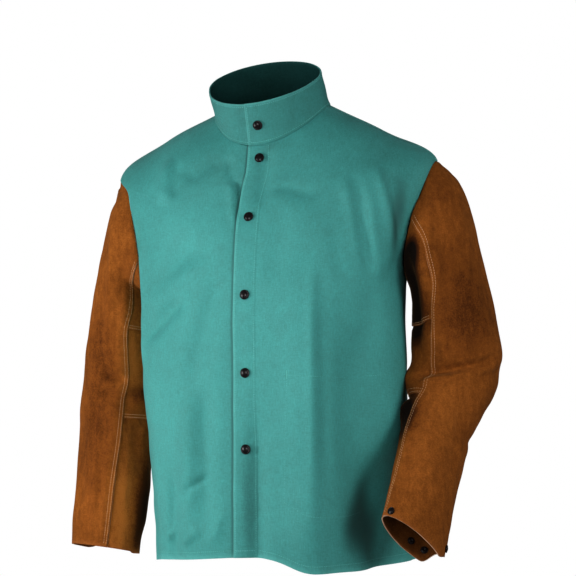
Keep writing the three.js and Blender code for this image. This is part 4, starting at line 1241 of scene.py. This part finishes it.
# Columns: sleeve, name, degrees, share along, side of the leather
CUFF_FASTENERS = [
    (left_sleeve, "left_cuff_snap_1", 124, 0.984, 1), (left_sleeve, "left_cuff_snap_2", -8, 0.962, 1),
    (left_sleeve, "left_cuff_stud_1", 250, 0.97, -1), (left_sleeve, "left_cuff_stud_2", 277, 0.97, -1),
    (right_sleeve, "right_cuff_snap_1", 312, 0.976, 1),
    (right_sleeve, "right_cuff_stud_1", 226, 0.97, -1), (right_sleeve, "right_cuff_stud_2", 252, 0.97, -1),
]
for sleeve, name, degrees, along, outside in CUFF_FASTENERS:
    place = np.array([math.radians(degrees)]), np.array([along])
    facing = sleeve_normal(sleeve, *place)[0] * outside
    lift, profile = CUFF_SNAP_LIFT, CAP_PROFILE
    if outside < 0:
        lift, profile = LEATHER_WALL + CUFF_STUD_LIFT, STUD_PROFILE
    base = leather_surface(sleeve, *place)[0] + facing * lift
    turned_piece(f"{name}_cap", base, facing, profile, CUFF_RADIUS, CUFF_HEIGHT)
print("snaps and backs of the cuffs:", len(CUFF_FASTENERS))

# %% [markdown]
# ## Stitches
# A seam is read by its stitches, so each one is a small tapered strand. Drawing them as a texture would be
# lighter but would vanish at the edge of the form. One strand is worked out once, and every stitch is that
# strand laid on a line of the surface: its own length along the line, its height along the normal.

# %% Stitch helper
# Columns: place along the strand, radius
STRAND_RINGS = np.array([(-0.34, 0.82), (0.0, 1.0), (0.34, 0.82)])
STRAND_SIDES = 6
# Pitch, length and half width of a stitch
COTTON_STITCH, LEATHER_STITCH, TACK_STITCH = (3.4, 2.7, 0.42), (4.0, 3.2, 0.36), (1.0, 1.6, 0.6)
stitch_lines = {"cotton_stitching": [], "leather_stitching": []}


def strand():
    """Unit strand along x: three rings of six points and a point at each end, with its faces."""
    turn = np.arange(STRAND_SIDES) * 2 * np.pi / STRAND_SIDES
    circle = np.stack([np.zeros(STRAND_SIDES), np.cos(turn), np.sin(turn)], -1)
    rings = np.concatenate([circle * [1, r, r] + [x, 0, 0] for x, r in STRAND_RINGS])
    points = np.concatenate([rings, [[-0.5, 0, 0], [0.5, 0, 0]]])
    index = np.arange(len(rings)).reshape(len(STRAND_RINGS), STRAND_SIDES)
    after = np.roll(index, -1, axis=1)
    quads = np.stack([index[:-1], index[1:], after[1:], after[:-1]], -1).reshape(-1, 4)
    ends = np.full(STRAND_SIDES, len(rings))
    first, last = np.stack([ends, index[0], after[0]], -1), np.stack([ends + 1, after[-1], index[-1]], -1)
    return points, quads, np.concatenate([first, last])


def sew(kind, line, normals, stitch):
    """Even stitches along a line of points: their middles, ways and normals, kept for one mesh per kind."""
    pitch, length, width = stitch
    run = np.concatenate([[0], np.cumsum(np.linalg.norm(np.diff(line, axis=0), axis=1))])

    def along_run(values, at):
        """Values at lengths along the line, straight between its points."""
        return np.stack([np.interp(at, run, values[:, k]) for k in range(3)], -1)

    at = np.arange(pitch / 2, run[-1], pitch)
    way = unit(along_run(line, at + pitch / 2) - along_run(line, at - pitch / 2))
    normal = unit(along_run(normals, at))
    normal = unit(normal - way * (normal * way).sum(-1, keepdims=True))
    sizes = np.full(len(at), length), np.full(len(at), width)
    stitch_lines[kind].append((along_run(line, at), way, normal, *sizes))


def sew_body(distance, level, lift, stitch=COTTON_STITCH):
    """Stitches on the cloth along a line given by distance and level."""
    distance, level = np.broadcast_arrays(np.asarray(distance, float), np.asarray(level, float))
    sew("cotton_stitching", body_surface(distance, level, lift), body_normal(distance, level), stitch)


def sew_sleeve(sleeve, angle, along, lift):
    """Stitches on the leather along a line given by angle and share."""
    line, normals = leather_surface(sleeve, angle, along, lift), sleeve_normal(sleeve, angle, along)
    sew("leather_stitching", line, normals, LEATHER_STITCH)


# %% [markdown]
# ## Rows on the body
# The hem is turned up and sewn once round, first through the doubled edge and then on from it. The placket
# has a row at each side, the side and shoulder seams have one behind the seam, and the collar has one along
# its rim, its seam and its end. Each line is sampled closely before it is cut into stitches, which keeps
# them on the folds.

# %% Stitches of hem, placket and side seams
HEM_STITCH, PLACKET_STITCHES, THREAD_LIFT = 13.0, (3.2, 33.0), 0.15
SEAM_STITCH, SEAM_SINK = 5.5, 0.2
HEM_LAP_SAMPLES, HEM_SAMPLES, PLACKET_SAMPLES, SEAM_SAMPLES = 40, 1500, 900, 500
# How far rows stop short of the edges that they run between, at their start and their end
LAP_MARGIN, HEM_MARGINS, PLACKET_MARGINS, SEAM_MARGINS = 3, (2, 4), (4, 2), (6, 4)
SEAM_STRETCHES = (
    (HEM_LEVEL + SEAM_MARGINS[0], ARMHOLE_LEVEL - ARMHOLE_HALF - SEAM_MARGINS[1]),
    (ARMHOLE_LEVEL + ARMHOLE_HALF + SEAM_MARGINS[1], NECK_LEVEL - SEAM_MARGINS[1]),
)
hem_girth = float(half_length(HEM_STITCH, True) + half_length(HEM_STITCH, False))
hem_start = float(closing_edge(np.array(HEM_STITCH)))
hem_lap = hem_start + PLACKET_WIDTH
doubled = np.linspace(hem_start + LAP_MARGIN, hem_lap - LAP_MARGIN, HEM_LAP_SAMPLES)
sew_body(doubled, HEM_STITCH, PLACKET_WALL + THREAD_LIFT)
onwards = np.linspace(hem_lap + HEM_MARGINS[0], hem_girth + hem_start - HEM_MARGINS[1], HEM_SAMPLES)
sew_body(onwards, HEM_STITCH, THREAD_LIFT)
level = np.linspace(HEM_LEVEL + PLACKET_MARGINS[0], PLACKET_TOP - PLACKET_MARGINS[1], PLACKET_SAMPLES)
for inset in PLACKET_STITCHES:
    distance = closing_edge(level) + inset
    sew_body(distance, level, strip_lift(distance, level) + THREAD_LIFT)
for side in (1, -1):
    for low, high in SEAM_STRETCHES:
        level = np.linspace(low, high, SEAM_SAMPLES)
        sew_body(side * (side_length(level, side > 0) + SEAM_STITCH), level, THREAD_LIFT - SEAM_SINK)
print("rows so far:", len(stitch_lines["cotton_stitching"]))

# %% Stitches of the pocket inside the left front
# Each row is given by the distance and level of its corners, and lies half sunk in the cloth
POCKET_ROWS = [
    [(66, 322), (150, 312), (228, 306)], [(228, 306), (226, 180), (222, 96)],
    [(60, 106), (94, 90), (150, 86), (222, 96)], [(66, 322), (62, 210), (60, 106)],
]
POCKET_LIFT, POCKET_SAMPLES = -0.22, 300
TACK_DISTANCE, TACK_LOW, TACK_HIGH, TACK_LIFT, TACK_SAMPLES = 66.0, 316, 330, 0.3, 30
for corners in POCKET_ROWS:
    corners = np.array(corners, float)
    at = np.linspace(0, len(corners) - 1, POCKET_SAMPLES)
    distance, level = (np.interp(at, np.arange(len(corners)), corners[:, k]) for k in (0, 1))
    sew_body(distance, level, POCKET_LIFT)
sew_body(TACK_DISTANCE, np.linspace(TACK_LOW, TACK_HIGH, TACK_SAMPLES), TACK_LIFT, TACK_STITCH)
print("rows so far:", len(stitch_lines["cotton_stitching"]))

# %% Stitches of the collar
RIM_ROW, SEAM_ROW, END_ROW, END_INSET = 0.925, 0.075, (0.08, 0.92), 4.0
COLLAR_MARGINS, COLLAR_SAMPLES, END_SAMPLES, COLLAR_STEP = (5, 4), 900, 90, 3.0
collar_end = neck_girth + UNDERLAP
distance = np.linspace(collar_start + COLLAR_MARGINS[0], collar_end - COLLAR_MARGINS[1], COLLAR_SAMPLES)
collar_rows = [
    (distance, np.full(COLLAR_SAMPLES, RIM_ROW)), (distance, np.full(COLLAR_SAMPLES, SEAM_ROW)),
    (np.full(END_SAMPLES, collar_start + END_INSET), np.linspace(*END_ROW, END_SAMPLES)),
]
for distance, share in collar_rows:
    leaning = distance + COLLAR_LEAN * share
    line = collar_surface(leaning, share, collar_underlap(distance) - THREAD_LIFT)
    around = collar_surface(leaning + COLLAR_STEP, share) - collar_surface(leaning - COLLAR_STEP, share)
    sew("cotton_stitching", line, unit(np.cross(around, COLLAR_SLANT)), COTTON_STITCH)
print("rows on the cotton:", len(stitch_lines["cotton_stitching"]))

# %% [markdown]
# ## Rows on the sleeves
# Leather is sewn with longer stitches than cotton, because holes close together would tear it. Each lapped
# seam has two rows through both layers. The rows of the back seam end where the cuff is left open.

# %% Stitches of the sleeves
SEAM_ROWS, PIECING_ROWS = (3.6, -1.0), (-2.5, -7.0)
ROW_TOP, ROW_END, PIECING_MARGIN = 0.022, 0.992, 1
SLEEVE_SAMPLES, PIECING_SAMPLES = 700, 200
for sleeve in (left_sleeve, right_sleeve):
    for row in SEAM_ROWS:
        along = np.linspace(ROW_TOP, ROW_END, SLEEVE_SAMPLES)
        angle = seam_angle(sleeve, along, FRONT_SEAM) + row / MM_PER_RADIAN
        sew_sleeve(sleeve, angle, along, outer_lift(sleeve, angle, along) + THREAD_LIFT)
        along = np.linspace(ROW_TOP, VENT_FROM, SLEEVE_SAMPLES)
        angle = seam_angle(sleeve, along, BACK_SEAM) - 2 * np.pi - row / MM_PER_RADIAN
        sew_sleeve(sleeve, angle, along, outer_lift(sleeve, angle, along) + THREAD_LIFT)
    for stop in sleeve["piecing"]:
        for row in PIECING_ROWS:
            along = np.full(PIECING_SAMPLES, stop + row / SLEEVE_LENGTH)
            inset = (SEAM_LAP + PIECING_MARGIN) / MM_PER_RADIAN
            front = seam_angle(sleeve, along, FRONT_SEAM) + inset
            back = seam_angle(sleeve, along, BACK_SEAM) - inset
            angle = front + (back - front) * np.linspace(0, 1, PIECING_SAMPLES)
            sew_sleeve(sleeve, angle, along, THREAD_LIFT)
print("rows on the leather:", len(stitch_lines["leather_stitching"]))

# %% [markdown]
# ## All stitches in two meshes
# Thousands of objects would be slow, so every strand of a thread goes into one mesh, worked out as one array.
# No two stitches on a real seam are quite alike, so each is turned a little and has a length of its own, from
# a seeded draw.

# %% Stitch meshes
STITCH_SEED, STITCH_SWING, STITCH_FLATNESS = 5, 0.06, 0.62
LENGTH_RANGE = (0.9, 1.1)
strand_points, strand_quads, strand_fans = strand()
draw = np.random.default_rng(STITCH_SEED)
for name, thread in (("cotton_stitching", green_thread), ("leather_stitching", tan_thread)):
    middle, way, normal, length, width = (np.concatenate(column) for column in zip(*stitch_lines[name]))
    side = np.cross(normal, way)
    swing = draw.normal(0, STITCH_SWING, len(way))[:, None]
    way, side = unit(way + side * swing), unit(side - way * swing)
    length = length * draw.uniform(*LENGTH_RANGE, len(way))
    points = (
        middle[:, None]
        + way[:, None] * (strand_points[None, :, :1] * length[:, None, None])
        + side[:, None] * (strand_points[None, :, 1:2] * width[:, None, None])
        + normal[:, None] * (strand_points[None, :, 2:] * width[:, None, None] * STITCH_FLATNESS)
    )
    offset = np.arange(len(way))[:, None, None] * len(strand_points)
    quads, fans = (strand_quads[None] + offset).reshape(-1, 4), (strand_fans[None] + offset).reshape(-1, 3)
    put_mesh(name, points.reshape(-1, 3), [quads, fans], [thread], {})
    print(f"{name}: {len(way)} stitches")

# %% [markdown]
# ## What each piece stands for
# The new pieces hide the plain CAD panels, which stay in the physics model. Every piece rides on the one
# rigid body, and each sheet tells the flat size it was cut to.

COTTON_NODES = {
    "front_left_cloth": "front_left", "front_right_cloth": "front_right", "back_cloth": "back_panel",
    "placket_cloth": "placket", "collar_cloth": "collar",
}
for name, piece in pieces.items():
    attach(piece, "root")
    if name in COTTON_NODES:
        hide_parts(COTTON_NODES[name])
    elif name.endswith("_leather"):
        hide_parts(name.removesuffix("_leather"))
    elif name.endswith("_cap"):
        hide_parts(name.removesuffix("_cap"))
print("pieces:", len(pieces))

for name, (width, length, area) in flat_sizes.items():
    area = min(area, width * length)
print("sheets:", {name: [round(v, 3) for v in size] for name, size in flat_sizes.items()})
